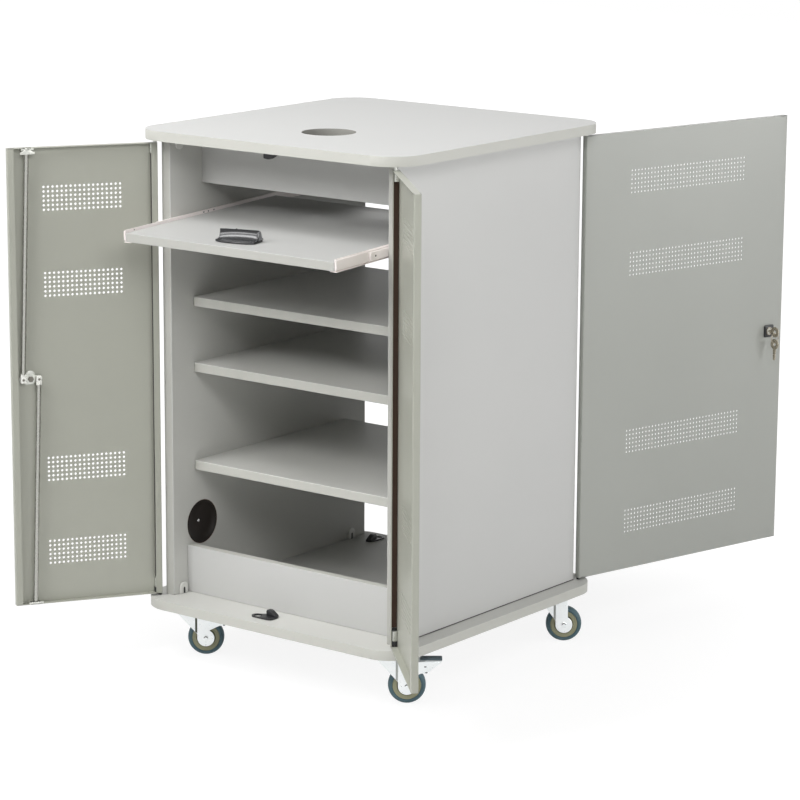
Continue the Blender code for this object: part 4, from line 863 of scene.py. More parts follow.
def makeRods(door):
    # Rods: a square eye block on the cam's pin, then a round bar to the end guide.
    name, centre = door["lock"], lockSpace(door)
    throw, depth, half = locks["throw"], locks["rodDepth"], locks["eyeHalf"]
    lean = math.atan2(throw, locks["length"])
    length = locks["length"] / math.cos(lean)
    finishes = ["rodSteel", "eyeBlock"]
    for label, up in (("upper", 1), ("lower", -1)):
        bm = bmesh.new()
        eye = roundedOutline(-0.0058, -0.0068, 0.0058, 0.0125, 0.0022, 4)
        addPrism(bm, [(x, up * y) for x, y in eye], -half, half, standing)
        soften(bm, 0.0006, 2, 40)
        for face in bm.faces:
            face.material_index = 1
        addRod(bm, (0, 0, up * 0.0105), (0, 0, up * length), locks["rodRadius"], 28)
        place = centre @ moved(up * throw, depth, 0) @ Matrix.Rotation(-lean, 4, "Y")
        rodBody, node = name + "_" + label + "_rod", name + "_rod_" + label
        makePiece(name + "Rod" + label.title(), bm, rodBody, finishes, [node], place)


def makeGuides(door):
    # Bent guides at the tray's ends: a slotted plate with a peaked apron above and a flat one below.
    name, matrix = door["lock"], doorSpace(door)
    lock, half = door["width"] - doors["lockIn"], doors["slotHalf"]
    wide, front, back = half + guides["rim"], guides["front"], guides["back"]
    bm = bmesh.new()
    for z, up in ((doors["bottom"], 1), (doors["top"], -1)):
        near = z + up * front
        rim = [(lock - wide, front), (lock + wide, front), (lock + wide, back), (lock - wide, back)]
        hole = [(lock - half, guides["slotFront"]), (lock + half, guides["slotFront"]),
                (lock + half, guides["slotBack"]), (lock - half, guides["slotBack"])]
        for a, b in ((0, 1), (1, 2), (2, 3), (3, 0)):
            addPrism(bm, [rim[a], rim[b], hole[b], hole[a]], near, near + up * guides["thick"])
    bmesh.ops.remove_doubles(bm, verts=bm.verts, dist=1e-6)
    peak = [(-0.0150, -0.0125), (0.0150, -0.0125), (0.0150, -0.0088), (0.0040, -0.0030), (0.0030, -0.0012),
            (-0.0030, -0.0012), (-0.0040, -0.0030), (-0.0150, -0.0088)]
    apron = [(lock + x, doors["top"] + z) for x, z in peak]
    soften(bm, 0.0004, 2, 40, addPrism(bm, apron, back - guides["apron"], back, upright))
    low = [(-0.0135, 0.0012), (0.0135, 0.0012), (0.0150, 0.0062), (-0.0150, 0.0062)]
    apron = [(lock + x, doors["bottom"] + z) for x, z in low]
    paintFaces(bm, addPrism(bm, apron, back - guides["apron"], back, upright), 1)
    makePiece(name + "RodGuides", bm, door["body"], ["zinc", "eyeBlock"], (), matrix)
    # painted shade: dark rings round the rods in both guides, standing for the shade in the slots
    bm = bmesh.new()
    outer = roundedOutline(lock - half - 0.0012, 0.0055, lock + half + 0.0012, 0.0172, 0.002, 4)
    left, right = lock - half + 0.0016, lock + half - 0.0016
    inner = [(left, 0.0068), (right, 0.0068), (right, 0.0162), (left, 0.0162)]
    for z, up in ((doors["bottom"] + guides["shade"], 1), (doors["top"] - guides["shade"], -1)):
        ring = bmesh.new()
        drillPlate(ring, [outer, inner], z, z + up * guides["shadeThick"])
        slot = bpy.data.meshes.new("slot")
        ring.to_mesh(slot)
        ring.free()
        bm.from_mesh(slot)
        bpy.data.meshes.remove(slot)
    makePiece(name + "RodSlots", bm, door["body"], "jointShade", (), matrix)


for oneDoor in doorList:
    if oneDoor["lock"]:
        makeLock(oneDoor)
        makeRods(oneDoor)
        makeGuides(oneDoor)


# keys: one in the rear lock, its spare on a ring
keys = {"bow": 0.0115, "hole": 0.004, "thick": 0.002, "out": 0.0216, "ring": 0.0105, "wire": 0.0009,
        "bladeHalf": 0.00375, "shortBlade": 0.005, "longBlade": 0.024, "play": 0.0003}


def keyOutline(blade, teeth):
    half = keys["bladeHalf"]
    start = math.degrees(math.asin(half / keys["bow"]))
    bow = arcPoints(0, 0, keys["bow"], -90 + start, 270 - start, 28)
    tip = -keys["bow"] - blade
    if not teeth:
        return bow + [(-half, tip), (half, tip)]
    # bites: how deep, how far from the tip
    bites = [(0.0, 0.018), (0.0012, 0.0165), (0.0, 0.015), (0.0019, 0.0125), (0.0002, 0.010),
             (0.0014, 0.0075), (0.0004, 0.005)]
    edge = [(-half + bite, tip + rise) for bite, rise in bites]
    return bow + edge + [(-0.0012, tip), (0.0016, tip), (half, tip + 0.0025)]


def keyBody(blade, teeth, matrix):
    # A flat key with a round hole through its bow.
    bm = bmesh.new()
    half = keys["thick"] / 2
    drillPlate(bm, [keyOutline(blade, teeth), ringPoints(0, 0, keys["hole"], 24)], -half, half)
    soften(bm, 0.0003, 2, 50)
    bmesh.ops.transform(bm, matrix=matrix, verts=bm.verts)
    return bm


def makeKeys(door):
    matrix = lockSpace(door)
    toLock = Matrix(((0, 0, 1, 0), (0, -1, 0, 0), (1, 0, 0, 0), (0, 0, 0, 1)))  # blade inward
    bow = moved(0, -keys["out"], 0)
    bm = keyBody(keys["shortBlade"], False, bow @ toLock)
    makePiece("rearKeyInLock", bm, "rear_lock", "nickel", ["rear_key"], matrix)
    slack = keys["hole"] - keys["wire"] - keys["play"]
    ringDrop = -slack - keys["ring"]
    bm = bmesh.new()
    section = [(keys["ring"] + keys["wire"] * math.cos(a), keys["wire"] * math.sin(a))
               for a in [2 * math.pi * i / 10 for i in range(10)]]
    addLathe(bm, section, 48, bow @ moved(0, 0, ringDrop) @ standing, True)
    makePiece("keyRing", bm, "spare_keys", "nickel", ["key_ring"], matrix)
    drop = ringDrop - keys["ring"] - slack
    bm = keyBody(keys["longBlade"], True, bow @ moved(0, 0, drop) @ sideways)
    makePiece("spareKey", bm, "spare_keys", "nickel", ["spare_key"], matrix)


makeKeys(doorList[2])
print("locks and keys made")


# keeps that the rods drop into: a plate with the rod's hole and a stop knob

keeps = {"nodes": (("front_keep_base", 1), ("front_keep_top", -1), ("rear_keep_base", 1),
                   ("rear_keep_top", -1)),
         "lobe": 0.014, "halfDepth": 0.0105, "plate": 0.003, "hole": 0.0082, "round": 0.0104,
         "near": -0.0035, "far": 0.0295, "widen": 0.0110}


def makeKeep(node, up):
    # Local: x from the rod's hole toward the knob, y across, z away from the board.
    low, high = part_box(node)
    level = low.z if up > 0 else high.z
    r, far, widen = keeps["round"], keeps["far"], keeps["widen"]
    outline = arcPoints(keeps["near"], 0, r, 90, 270, 14)
    if node.startswith("front"):
        hole = (low.x + keeps["lobe"], low.y + keeps["halfDepth"])
        matrix = Matrix(((1, 0, 0, hole[0]), (0, 1, 0, hole[1]), (0, 0, up, level), (0, 0, 0, 1)))
        outline += (arcPoints(far, 0, r, 270, 360, 8) + arcPoints(far, widen, r, 0, 90, 8)
                    + [(0.0120, widen + r)])
        knobSides = (0.0087, 0.0204)
    else:
        hole = ((low.x + high.x) / 2, high.y - keeps["lobe"])
        matrix = Matrix(((0, 1, 0, hole[0]), (-1, 0, 0, hole[1]), (0, 0, up, level), (0, 0, 0, 1)))
        outline += arcPoints(far, 0, r, 270, 450, 16)
        knobSides = (-0.0059, 0.0059)
    bm = bmesh.new()
    drillPlate(bm, [outline, ringPoints(0, 0, keeps["hole"], 28)], 0.0, keeps["plate"])
    soften(bm, 0.0008, 3, 50)
    # knob: steep toward the rod, sloping away behind
    knob = [(0.0136, 0.0026), (0.0137, 0.0118), (0.0145, 0.0140), (0.0166, 0.0149), (0.0219, 0.0148),
            (0.0263, 0.0128), (0.0312, 0.0098), (0.0357, 0.0064), (0.0390, 0.0026)]
    if node == "front_keep_top":
        # a little fuller all round
        knob = [(x + (0.0030 if x > 0.0165 else -0.0030), z + (0.0034 if z > 0.0030 else 0.0))
                for x, z in knob]
    made = addPrism(bm, knob, knobSides[0], knobSides[1], upright)
    soften(bm, 0.0012, 3, 25, made)
    name = node.replace("_", "") + "Keep"
    makePiece(name, bm, "cabinet", "blackPlastic", [node], matrix)


for keepNode, keepUp in keeps["nodes"]:
    makeKeep(keepNode, keepUp)


# corner connectors: white arched blocks with a keyhole slot, one at each corner of the panels
connectors = {"width": 0.022, "height": 0.0235, "depth": 0.005, "y": 0.278, "slot": 0.0025,
              "slotTop": 0.0105, "coreDepth": 0.0046, "coreHeight": 0.0128, "gap": 0.0003}


def makeConnectors():
    half, height = connectors["width"] / 2, connectors["height"]
    slot, gap = connectors["slot"], connectors["gap"]
    arch = ([(half, 0.0)] + arcPoints(0, height - half, half, 0, 180, 16) + [(-half, 0.0), (-slot, 0.0)]
            + arcPoints(0, connectors["slotTop"], slot, 180, 0, 8) + [(slot, 0.0)])
    bm = bmesh.new()
    addPrism(bm, arch, 0.0, connectors["depth"], sideways)
    soften(bm, 0.0008, 2, 40)
    fitting = helper("connector", bm)
    # painted shade: a dark block fills each keyhole slot
    bm = bmesh.new()
    addBox(bm, (0.0, -slot - gap, 0.0), (connectors["coreDepth"], slot + gap, connectors["coreHeight"]))
    core = helper("connectorCore", bm)
    points, turns = [], []
    for side in (-1, 1):
        x = cart["x"] + side * (cart["panelInner"] - gap)
        for end in (-1, 1):
            y = cart["y"] + end * connectors["y"]
            for level, flip in ((cart["baseTop"] + gap, 0.0), (cart["topUnder"] - gap, math.pi)):
                points.append((x, y, level))
                turns.append((flip, 0.0, 0.0 if side < 0 else math.pi))
    for label, obj, finish in (("cornerConnectors", fitting, "whitePlastic"),
                               ("connectorScrews", core, "blackPlastic")):
        mesh = runTree(repeat, points, {"Fitting": obj, "Finish": mats[finish]}, turns)
        makeFromMesh(label, mesh, "cabinet", finish)
        bpy.data.objects.remove(obj, do_unlink=True)


makeConnectors()
print("keeps and connectors made")


# pull-out shelf, runners and pull: built level from the shelf's front top edge, then tipped

pullOut = {"pitch": 2.6, "front": -0.4515, "height": 0.776, "half": 0.26375, "depth": 0.460, "thick": 0.018,
           "shadowGap": 0.0012}
shelfSpace = (moved(cart["x"], cart["y"] + pullOut["front"], cart["baseTop"] + pullOut["height"])
              @ turned(pullOut["pitch"], "X"))


def makePullOut():
    bm = bmesh.new()
    half = pullOut["half"] - pullOut["shadowGap"]
    addBox(bm, (-half, 0.0, -pullOut["thick"]), (half, pullOut["depth"], 0.0))
    for face in bm.faces:
        if abs(face.normal.y) > 0.9:
            face.material_index = 1
    soften(bm, boards["plankEdge"], 3)
    keepFlat(bm)
    finishes = ["pullLaminate", "frontBand"]
    makePiece("pullOutBoard", bm, "sliding_shelf", finishes, ["pull_out_shelf"], shelfSpace,
              flat=True)


runnerSections = {
    "shelf": {"body": "sliding_shelf", "start": 0.0, "length": 0.460, "outline":
              [(-0.012, -0.0195), (0.005, -0.0195), (0.005, -0.0183), (0.0015, -0.0183), (0.0015, -0.0155),
               (0.005, -0.0155), (0.005, 0.0035), (0.0015, 0.0035), (0.0015, 0.0058), (0.0003, 0.0058),
               (0.0003, -0.0183), (-0.012, -0.0183)]},
    "middle": {"body": "runner_middles", "start": 0.097, "length": 0.380, "outline":
               [(0.0019, -0.0171), (0.0066, -0.0171), (0.0066, -0.014), (0.01135, -0.014), (0.01135, 0.002),
                (0.0066, 0.002), (0.0066, 0.0051), (0.0019, 0.0051), (0.0019, 0.0039), (0.0054, 0.0039),
                (0.0054, -0.0159), (0.0019, -0.0159)]},
    "cabinet": {"body": "cabinet", "start": 0.262, "length": 0.400, "outline":
                [(0.0070, -0.0156), (0.01295, -0.0156), (0.01295, 0.0036), (0.0070, 0.0036),
                 (0.0070, 0.0024), (0.01175, 0.0024), (0.01175, -0.0144), (0.0070, -0.0144)]},
}
# the web that the dark holes go through, and each hole's place along the runner, height and radius
runnerWebs = {"shelf": (0.0003, 0.0015), "middle": (0.01135, 0.01135), "cabinet": (0.01175, 0.01295)}
runnerHoles = {"shelf": [(0.026, 0.0022, 0.0014), (0.235, 0.0022, 0.0016), (0.249, 0.0022, 0.0016),
                         (0.266, 0.0022, 0.0016)],
               "middle": [(0.111, -0.0060, 0.0020)], "cabinet": [(0.276, -0.0060, 0.0020)]}


def makeRunners():
    for kind, run in runnerSections.items():
        for label, side in (("left", -1), ("right", 1)):
            bm = bmesh.new()
            outline = [(side * (pullOut["half"] + s), h) for s, h in run["outline"]]
            addPrism(bm, outline, -run["start"] - run["length"], -run["start"], standing)
            soften(bm, 0.00035, 2, 40)
            makePiece("runner" + kind.title() + label.title(), bm, run["body"], "runnerPaint",
                      ["runner_" + kind + "_" + label], shelfSpace)
            # painted shade: dark plugs fill the holes along the web
            bm = bmesh.new()
            inner, outer = (side * (pullOut["half"] + face) for face in runnerWebs[kind])
            for y, height, radius in runnerHoles[kind]:
                ends = ((inner - side * 0.0001, y, height), (outer + side * 0.0001, y, height))
                addRod(bm, *ends, radius, 16, 0.00002)
            name = "runnerHoles" + kind.title() + label.title()
            makePiece(name, bm, run["body"], "darkSteel", (), shelfSpace)


handle = {"x": -0.0156, "y": 0.0488, "turn": 8.2, "half": 0.0457, "bulge": 0.0200, "endBulge": 0.0125,
          "back": 0.0228, "left": -0.0405, "right": 0.0425, "wall": 0.0113, "sweep": 0.0091, "cheek": 0.0058,
          "squareness": 7}


def makeHandle():
    # Pull handle: a bowed foot that scoops up into a wall behind it, and a cheek at its right end.
    half, back = handle["half"], handle["back"]
    place = shelfSpace @ moved(handle["x"], handle["y"], 0) @ turned(handle["turn"], "Z")

    def frontAt(u):
        share = min(1.0, abs(u) / half)
        bow = handle["endBulge"] + (handle["bulge"] - handle["endBulge"]) * (1.0 - share ** 2)
        return -bow * (1.0 - share ** handle["squareness"]) ** (1.0 / handle["squareness"])

    bm = bmesh.new()
    across = [-half * math.cos(math.pi * i / 48) for i in range(49)]
    foot = [(u, frontAt(u)) for u in across] + [(half, back - 0.004), (half - 0.004, back), (-half, back)]
    addPrism(bm, foot, 0.0003, 0.0040)
    soften(bm, 0.0012, 3, 50)
    stations, rings = 32, []
    for i in range(stations + 1):
        u = handle["left"] + (handle["right"] - handle["left"]) * i / stations
        front = frontAt(u) + 0.0016
        run = (handle["right"] - u) / (handle["right"] - handle["left"])
        wall = handle["wall"] - handle["sweep"] * run ** 2
        section = [(front, 0.0036)]
        for k in range(13):
            a = math.radians(90.0 * k / 12)
            section.append((front + (wall - front) * math.sin(a), 0.0040 + 0.0180 * (1.0 - math.cos(a))))
        section += [(wall - 0.0002, 0.0226), (wall + 0.0008, 0.0232), (wall + 0.0026, 0.0232),
                    (wall + 0.0038, 0.0226), (wall + 0.0044, 0.0205), (wall + 0.0058, 0.0110),
                    (wall + 0.0074, 0.0036)]
        rings.append([bm.verts.new((u, y, z)) for y, z in section])
    count = len(rings[0])
    faces = []
    for one, two in zip(rings, rings[1:]):
        for k in range(count):
            j = (k + 1) % count
            faces.append(bm.faces.new((one[k], one[j], two[j], two[k])))
    caps = [bm.faces.new(rings[0][::-1]), bm.faces.new(rings[-1])]
    bmesh.ops.recalc_face_normals(bm, faces=faces + caps)
    # painted light: the right end face is grey where light falls on the black handle's end
    caps[1].material_index = 1
    # cheek: high beside the wall, stepped down behind
    side = [(0.0035, 0.0037), (back - 0.0003, 0.0037), (back - 0.0003, 0.0066), (0.0182, 0.0086),
            (0.0158, 0.0182), (0.0140, 0.0210), (0.0112, 0.0218), (0.0085, 0.0180)]
    outside = half - 0.0004
    made = set(addPrism(bm, side, outside - handle["cheek"], outside, sideways))
    # the cheek's outward face gets the same painted light
    for face in bm.faces:
        if face.normal.x > 0.9 and all(v in made for v in face.verts):
            face.material_index = 1
    soften(bm, 0.0008, 3, 40, made)
    nub = [(0, 0.0012), (0.0010, 0.0010), (0.0018, 0.0), (0.0018, -0.001), (0, -0.001)]
    addLathe(bm, nub, 16, moved(-0.0075, handle["wall"] - 0.0010, 0.0232))
    finishes = ["glossBlack", "endCap"]
    makePiece("shelfPull", bm, "sliding_shelf", finishes, ["shelf_pull_handle"], place)


makePullOut()
makeRunners()
makeHandle()
print("pull-out shelf made")


# casters

casters = {"trail": 0.032, "heading": 37.6, "radius": 0.0375, "plateTop": baseLow.z - 0.0003,
           "legInner": 0.0140, "legOuter": 0.0165, "end": 0.0180, "bolt": 0.023, "plateHalf": 0.031,
           "headBack": 0.0238, "headFront": 0.0398, "webBack": 0.0238, "brakedWebBack": 0.0335,
           "webIn": 0.0012, "seamIn": 0.0008, "boltTurn": 0.4}
casters["plateUnder"] = casters["plateTop"] - 0.0025
casters["raceUnder"] = casters["plateUnder"] - 0.0055
casters["crownTop"] = casters["raceUnder"] - 0.0003
casters["crownUnder"] = casters["crownTop"] - 0.0025
corners = ("front_left", "front_right", "rear_left", "rear_right")
braked = ("front_left", "front_right")


def forkSpace(corner):
    # From the swivel's middle on the floor, x toward the wheel.
    swivel = jointAt["swivel_" + corner]
    return moved(swivel.x, swivel.y, 0) @ turned(casters["heading"], "Z")


def sideHeights(side, inner, outer):
    # The heights between which a standing outline is drawn out at one side of the middle.
    return sorted((-side * inner, -side * outer))


def legStrip():
    # Side view of a leg's flat strip: upright edges down to a round end at the axle.
    x, z, r, top = casters["trail"], casters["radius"], casters["end"], casters["crownTop"] - 0.0004
    front = x + 0.0080
    start = math.degrees(math.acos((front - x) / r))
    return [(x - r + 0.0004, top), (front, top)] + arcPoints(x, z, r - 0.0002, start, -180, 32)


def legWeb(back):
    # The raked web pressed inward beside the strip.
    x, z, r = casters["trail"], casters["radius"], casters["end"]
    under, top = casters["crownUnder"], casters["crownTop"] - 0.0006
    return [(-back, under), (-back, top), (x - r + 0.0010, top), (x - r + 0.0010, z + 0.0075)]


def legWing():
    # The plate that stands out in front of a braked leg, beside its brake.
    return [(0.0385, 0.0540), (0.0400, 0.0543), (0.0596, 0.0637), (0.0715, 0.0637), (0.0899, 0.0788),
            (0.0992, 0.0858), (0.0992, 0.0877), (0.0385, 0.0877)]


def makeCaster(corner):
    swivel, space, fork = jointAt["swivel_" + corner], forkSpace(corner), "caster_" + corner
    under, race, crown = casters["plateUnder"], casters["raceUnder"], casters["crownUnder"]
    inner, outer = casters["legInner"], casters["legOuter"]
    x, z, r = casters["trail"], casters["radius"], casters["end"]
    # top plate with its pressed ball race and kingpin
    bm = bmesh.new()
    half = casters["plateHalf"]
    addPrism(bm, roundedOutline(-half, -half, half, half, half / 5, 6), under, casters["plateTop"])
    soften(bm, 0.0005, 2, 50)
    addLathe(bm, [(0.0225, under + 0.0003), (0.0215, under - 0.0012), (0.0205, race + 0.0012),
                  (0.0190, race), (0.0048, race), (0.0048, crown - 0.0003), (0.0080, crown - 0.0003),
                  (0.0078, crown - 0.0019), (0.0060, crown - 0.0032), (0, crown - 0.0033)], 48)
    flat = moved(swivel.x, swivel.y, 0)
    makePiece("casterPlate_" + corner, bm, "cabinet", "zinc", ["caster_plate_" + corner], flat)
    # fork: a strip to the axle with its web set back beside it
    bm = bmesh.new()
    for side in (-1, 1):
        made = addPrism(bm, legStrip(), *sideHeights(side, inner, outer), standing)
        soften(bm, 0.0008, 3, 40, made)
        web = legWeb(casters["brakedWebBack" if corner in braked else "webBack"])
        made = addPrism(bm, web, *sideHeights(side, inner + 0.0001, outer - casters["webIn"]), standing)
        soften(bm, 0.0003, 2, 40, made)
        if corner in braked:
            made = addPrism(bm, legWing(), *sideHeights(side, inner + 0.0001, outer - 0.0001), standing)
            soften(bm, 0.0006, 3, 20, made)
    half = outer - 0.0003
    head = roundedOutline(-casters["headBack"], -half, casters["headFront"], half, 0.003, 4)
    soften(bm, 0.0006, 2, 50, addPrism(bm, head, crown, casters["crownTop"]))
    makePiece("casterFork_" + corner, bm, fork, "forkZinc", ["caster_fork_" + corner], space)
    # painted shade where the web meets the strip
    bm = bmesh.new()
    seam = [(x - r - 0.0040, z + 0.0135), (x - r - 0.0040, crown), (x - r + 0.0008, crown),
            (x - r + 0.0008, z + 0.0100)]
    for side in (-1, 1):
        addPrism(bm, seam, *sideHeights(side, outer - casters["webIn"], outer - casters["seamIn"]), standing)
    # the left casters stand in shade, so their seam is painted dark; the right ones get the paler copy where they
    # are lit
    shade = "seam" if corner.endswith("left") else "paleSeam"
    makePiece("casterSeams_" + corner, bm, fork, shade, (), space)


def makeWheel(corner):
    # Axle bolt and nut with dark marks on their ends, moulded hub, tyre.
    wheel = "wheel_" + corner
    axis = forkSpace(corner) @ moved(casters["trail"], 0, casters["radius"]) @ standing
    bm = bmesh.new()
    addLathe(bm, [(0, 0.0186), (0.0022, 0.0184), (0.0046, 0.0178), (0.0062, 0.0170), (0.0062, 0.0167),
                  (0.0040, 0.0167), (0.0040, -0.0167), (0.0062, -0.0167), (0.0062, -0.0184),
                  (0.0040, -0.0188), (0, -0.0188)], 24)
    makePiece("casterAxle_" + corner, bm, wheel, "forkZinc", ["caster_axle_" + corner], axis)
    bm = bmesh.new()
    crescent = arcPoints(0, 0, 0.0044, 8, 172, 18) + arcPoints(0, -0.0012, 0.0037, 157, 23, 16)
    for side in (-1, 1):
        addPrism(bm, crescent, *sideHeights(-side, 0.0168, 0.0190))
    makePiece("casterAxleMarks_" + corner, bm, wheel, "darkSteel", (), axis)
    hub = [(0.0043, 0.0128), (0.0105, 0.0128), (0.0112, 0.0120), (0.0116, 0.0078), (0.0128, 0.0064),
           (0.0168, 0.0062), (0.0182, 0.0070), (0.0190, 0.0106), (0.0200, 0.0117), (0.0277, 0.0119),
           (0.0282, 0.0113)]
    tyre = [(0.0285, 0.0110), (0.0288, 0.0117), (0.0308, 0.0119), (0.0312, 0.0115), (0.0316, 0.0118),
            (0.0334, 0.0112), (0.0352, 0.0098), (0.0366, 0.0076), (0.0373, 0.0050), (0.0375, 0.0022)]
    for kind, half, steps, slot in (("hub", hub, 64, "hub_nylon"), ("tyre", tyre, 72, "tyre_rubber")):
        bm = bmesh.new()
        addLathe(bm, half + [(r, -h) for r, h in reversed(half)], steps, None, True)
        node = "caster_" + kind + "_" + corner
        makePiece("caster" + kind.title() + "_" + corner, bm, wheel, kind, [node], axis)


brake = {"pivot": 0.020, "eye": 0.0056, "reach": 0.0813, "tread": 0.0377, "half": 0.0090, "cheek": 0.0020,
         "pin": 0.0027, "padHalf": 0.0099, "ribs": 8, "ribFirst": 0.0065, "ribStep": 0.0045,
         "ribWide": 0.0016, "ribHalf": 0.0085, "ribLow": 0.0072, "ribHigh": 0.00758,
         "rivets": ((0.0680, 0.0777), (0.0700, 0.0657))}


def makeBrake(corner):
    # A channel lever on a pin through the fork, a shoe at the tyre and a ribbed pad over it.
    swivel, pivot = jointAt["swivel_" + corner], jointAt["brake_pedal_" + corner]
    turn = turned(casters["heading"], "Z")
    space = moved(swivel.x, swivel.y, pivot.z) @ turn @ moved(brake["pivot"], 0, 0)
    outer, body = casters["legOuter"], "brake_" + corner
    reach, tread, eye, half = (brake[k] for k in ("reach", "tread", "eye", "half"))
    cheek = ([(reach, 0.0024), (0.0320, 0.0024)] + arcPoints(0, 0, eye, 90, 270, 14)
             + [(0.0312, -eye), (0.0392, -0.0212), (0.0405, -0.0222), (0.0465, -0.0224), (0.0500, -0.0195),
                (0.0600, -0.0012), (reach, 0.0002)])
    bm = bmesh.new()
    for side in (-1, 1):
        addPrism(bm, cheek, *sideHeights(side, half - brake["cheek"], half), standing)
    addBox(bm, (tread + 0.0003, -half + 0.0004, 0.0004), (reach - 0.0003, half - 0.0004, 0.0027))
    soften(bm, 0.0005, 2, 40)
    addRod(bm, (0, -outer + 0.0001, 0), (0, outer - 0.0001, 0), brake["pin"], 20)
    makePiece("brakeLever_" + corner, bm, body, "forkZinc", ["brake_lever_" + corner], space)
    # rivet heads in the fork's wings
    bm = bmesh.new()
    rivet = [(0, 0.0004), (0.0011, 0.0003), (0.0015, 0.0), (0.0015, -0.0004), (0, -0.0004)]
    oval = Matrix.Diagonal((1.7, 0.8, 1.0, 1.0))
    for side in (-1, 1):
        for x, z in brake["rivets"]:
            addLathe(bm, rivet, 16, moved(x, side * outer, z) @ turned(-90 * side, "X") @ oval)
    makePiece("brakeRivets_" + corner, bm, "caster_" + corner, "darkSteel", (), forkSpace(corner))
    # ribbed pad
    pad = [(tread, 0.0033), (reach, 0.0033), (reach + 0.0001, 0.0066), (reach - 0.0009, 0.0075),
           (tread + 0.0045, 0.0075), (tread + 0.0014, 0.0066), (tread, 0.0052)]
    bm = bmesh.new()
    addPrism(bm, pad, -brake["padHalf"], brake["padHalf"], standing)
    soften(bm, 0.0006, 3, 30)
    for i in range(brake["ribs"]):
        x = tread + brake["ribFirst"] + brake["ribStep"] * i
        addBox(bm, (x, -brake["ribHalf"], brake["ribLow"]),
               (x + brake["ribWide"], brake["ribHalf"], brake["ribHigh"]))
    node = "brake_tread_" + corner
    makePiece("brakeTread_" + corner, bm, body, "pedal", [node], space)


def makeBolts():
    # Hex bolts that hold the caster plates, repeated under every plate.
    bm = bmesh.new()
    addLathe(bm, [(0, -0.0044), (0.0048, -0.0044), (0.0058, -0.0038), (0.0058, -0.0010), (0.0072, -0.0009),
                  (0.0072, -0.0002), (0, -0.0002)], 6)
    addLathe(bm, [(0, -0.0001), (0.0072, -0.0001), (0.0072, -0.0009), (0, -0.0009)], 24)
    bolt = helper("bolt", bm)
    points, away = [], casters["bolt"]
    for corner in corners:
        swivel = jointAt["swivel_" + corner]
        for i in (-1, 1):
            for j in (-1, 1):
                points.append((swivel.x + i * away, swivel.y + j * away, casters["plateUnder"]))
    turns = [(0.0, 0.0, casters["boltTurn"] * k) for k in range(len(points))]
    mesh = runTree(repeat, points, {"Fitting": bolt, "Finish": mats["zinc"]}, turns)
    makeFromMesh("casterBolts", mesh, "cabinet", "zinc")
    bpy.data.objects.remove(bolt, do_unlink=True)


for oneCorner in corners:
    makeCaster(oneCorner)
    makeWheel(oneCorner)
for oneCorner in braked:
    makeBrake(oneCorner)
makeBolts()
print("casters made")


# stage: white floor and background, soft light

studio = {"floor": 12.0, "floorTone": 0.82, "floorRough": 0.9, "floorGlow": 1.12, "shadowNear": 0.5,
          "shadowFar": 1.5, "shadowWhite": 0.78, "lampSize": 1.2, "lampAway": 4.2, "aimHeight": 0.6}
# soft square lamps round the cart: turn from the front toward the right, lift above the floor
lamps = {
    "leftHigh": {"turn": -45.0, "lift": 58.0, "power": 51.0},
    "frontHigh": {"turn": -15.0, "lift": 58.0, "power": 46.0},
    "frontLeft": {"turn": -45.0, "lift": 32.0, "power": 21.0},
    "front": {"turn": -15.0, "lift": 32.0, "power": 41.0},
    "frontRight": {"turn": 37.0, "lift": 32.0, "power": 40.0},
    "right": {"turn": 62.0, "lift": 32.0, "power": 26.0},
    "rightLow": {"turn": 90.0, "lift": 8.0, "power": 20.0},
    "rearRight": {"turn": 125.0, "lift": 8.0, "power": 32.0},
    "top": {"turn": 0.0, "lift": 88.0, "power": 11.0},
}
# camera solved from the photograph's straight edges: focal length in pixels of an 800-pixel picture
shot = {"focal": 3131.02, "picture": 800.0, "turn": 37.57, "tilt": 12.46, "roll": 0.31, "away": 6.43745,
        "sideStep": 0.05786, "height": 0.3987, "sensor": 36.0, "clipEnd": 100.0}


def seenAsWhite(nodes, links):
    # One for the camera's rays and for reflections, so that metal shows the background too.
    path = nodes.new("ShaderNodeLightPath")
    total = path.outputs["Is Camera Ray"]
    for label in ("Is Glossy Ray", "Is Transmission Ray"):
        either = addNode(nodes, "ShaderNodeMath", operation="MAXIMUM")
        links.new(total, either.inputs[0])
        links.new(path.outputs[label], either.inputs[1])
        total = either.outputs[0]
    return total


def makeFloor():
    bm = bmesh.new()
    bmesh.ops.create_grid(bm, x_segments=1, y_segments=1, size=studio["floor"])
    floor = helper("floor", bm)
    material = bpy.data.materials.new("floorWhite")
    material.use_nodes = True
    nodes, links = material.node_tree.nodes, material.node_tree.links
    shader = nodes["Principled BSDF"]
    shader.inputs["Base Color"].default_value = (*[studio["floorTone"]] * 3, 1.0)
    shader.inputs["Roughness"].default_value = studio["floorRough"]
    glow = addNode(nodes, "ShaderNodeEmission", {"Strength": studio["floorGlow"]})
    # the white gives way a little round the cart, so that its shadow stays
    coords = addNode(nodes, "ShaderNodeTexCoord")
    middle = addNode(nodes, "ShaderNodeVectorMath", {1: (cart["x"], cart["y"], 0.0)}, operation="DISTANCE")
    fade = {"From Min": studio["shadowNear"], "From Max": studio["shadowFar"],
            "To Min": studio["shadowWhite"], "To Max": 1.0}
    near = addNode(nodes, "ShaderNodeMapRange", fade, interpolation_type="SMOOTHSTEP")
    amount = addNode(nodes, "ShaderNodeMath", operation="MULTIPLY")
    mix = addNode(nodes, "ShaderNodeMixShader")
    links.new(seenAsWhite(nodes, links), amount.inputs[0])
    wire(links, (coords, "Object", middle, 0), (middle, "Value", near, "Value"), (near, "Result", amount, 1),
         (amount, 0, mix, 0), (shader, 0, mix, 1), (glow, 0, mix, 2),
         (mix, 0, nodes["Material Output"], "Surface"))
    floor.data.materials.append(material)


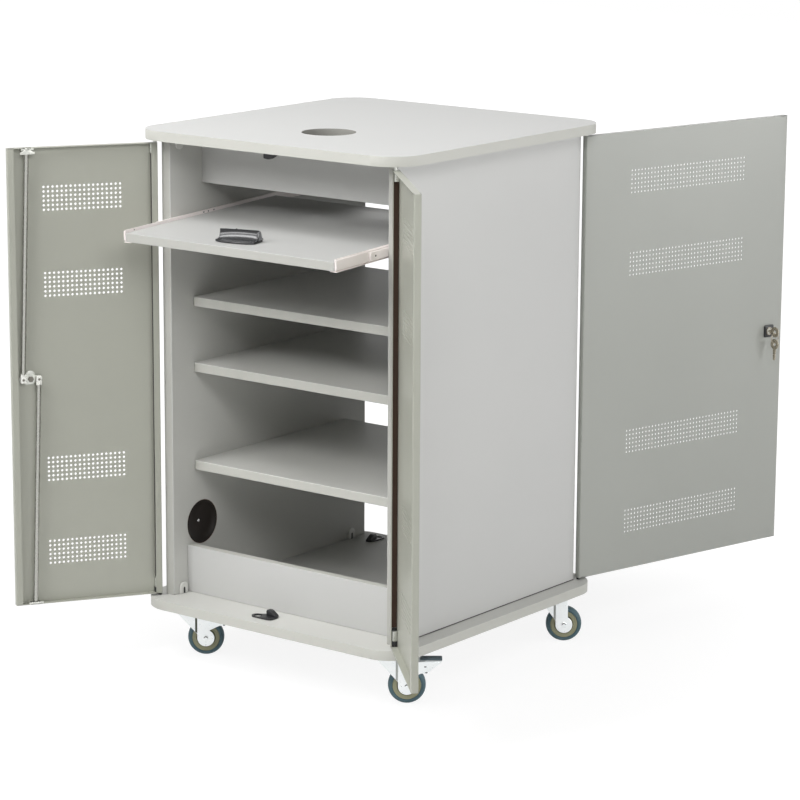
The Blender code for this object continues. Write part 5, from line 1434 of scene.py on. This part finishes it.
def makeLight():
    scene = bpy.context.scene
    world = bpy.data.worlds.new("studio")
    scene.world = world
    world.use_nodes = True
    nodes, links = world.node_tree.nodes, world.node_tree.links
    nodes["Background"].inputs["Color"].default_value = (1.0, 1.0, 1.0, 1.0)
    links.new(seenAsWhite(nodes, links), nodes["Background"].inputs["Strength"])
    aim = Vector((cart["x"], cart["y"], studio["aimHeight"]))
    for name, lamp in lamps.items():
        turn, lift = math.radians(lamp["turn"]), math.radians(lamp["lift"])
        data = bpy.data.lights.new(name, "AREA")
        data.shape = "SQUARE"
        data.size = studio["lampSize"]
        data.energy = lamp["power"]
        obj = bpy.data.objects.new(name, data)
        away = Vector((math.sin(turn) * math.cos(lift), -math.cos(turn) * math.cos(lift), math.sin(lift)))
        obj.location = aim + studio["lampAway"] * away
        obj.rotation_euler = (-away).to_track_quat("-Z", "Y").to_euler()
        scene.collection.objects.link(obj)
    scene.view_settings.view_transform = "Standard"


def makeCamera():
    a, e, r = (math.radians(shot[k]) for k in ("turn", "tilt", "roll"))
    right = Vector((math.cos(a), math.sin(a), 0))
    back = Vector((math.sin(a) * math.cos(e), -math.cos(a) * math.cos(e), math.sin(e)))
    up = back.cross(right)
    across = right * math.cos(r) + up * math.sin(r)
    upward = up * math.cos(r) - right * math.sin(r)
    target = Vector((cart["x"], cart["y"], cart["baseTop"] + shot["height"])) + right * shot["sideStep"]
    data = bpy.data.cameras.new("camera")
    data.sensor_width = shot["sensor"]
    data.lens = shot["sensor"] * shot["focal"] / shot["picture"]
    data.clip_end = shot["clipEnd"]
    obj = bpy.data.objects.new("camera", data)
    matrix = Matrix((across, upward, back)).transposed().to_4x4()
    obj.matrix_world = Matrix.Translation(target + back * shot["away"]) @ matrix
    bpy.context.scene.collection.objects.link(obj)
    bpy.context.scene.camera = obj


makeFloor()
makeLight()
makeCamera()
print("stage and camera made")

# any node still showing gets a finish of its own kind
slotFinish = {"grey_laminate": "laminate", "door_paint": "doorPaint", "runner_white": "runnerPaint",
              "black_plastic": "blackPlastic", "zinc": "zinc", "steel": "nickel", "tyre_rubber": "tyre",
              "hub_nylon": "hub", "tread_grey": "pedal"}
slotOf = {s["node"]: s["material_slot"] for s in frame["record"]["subparts"]}
for nodeName, nodeObject in frame["nodes"].items():
    nodeObject.data.materials.clear()
    nodeObject.data.materials.append(mats[slotFinish[slotOf[nodeName]]])
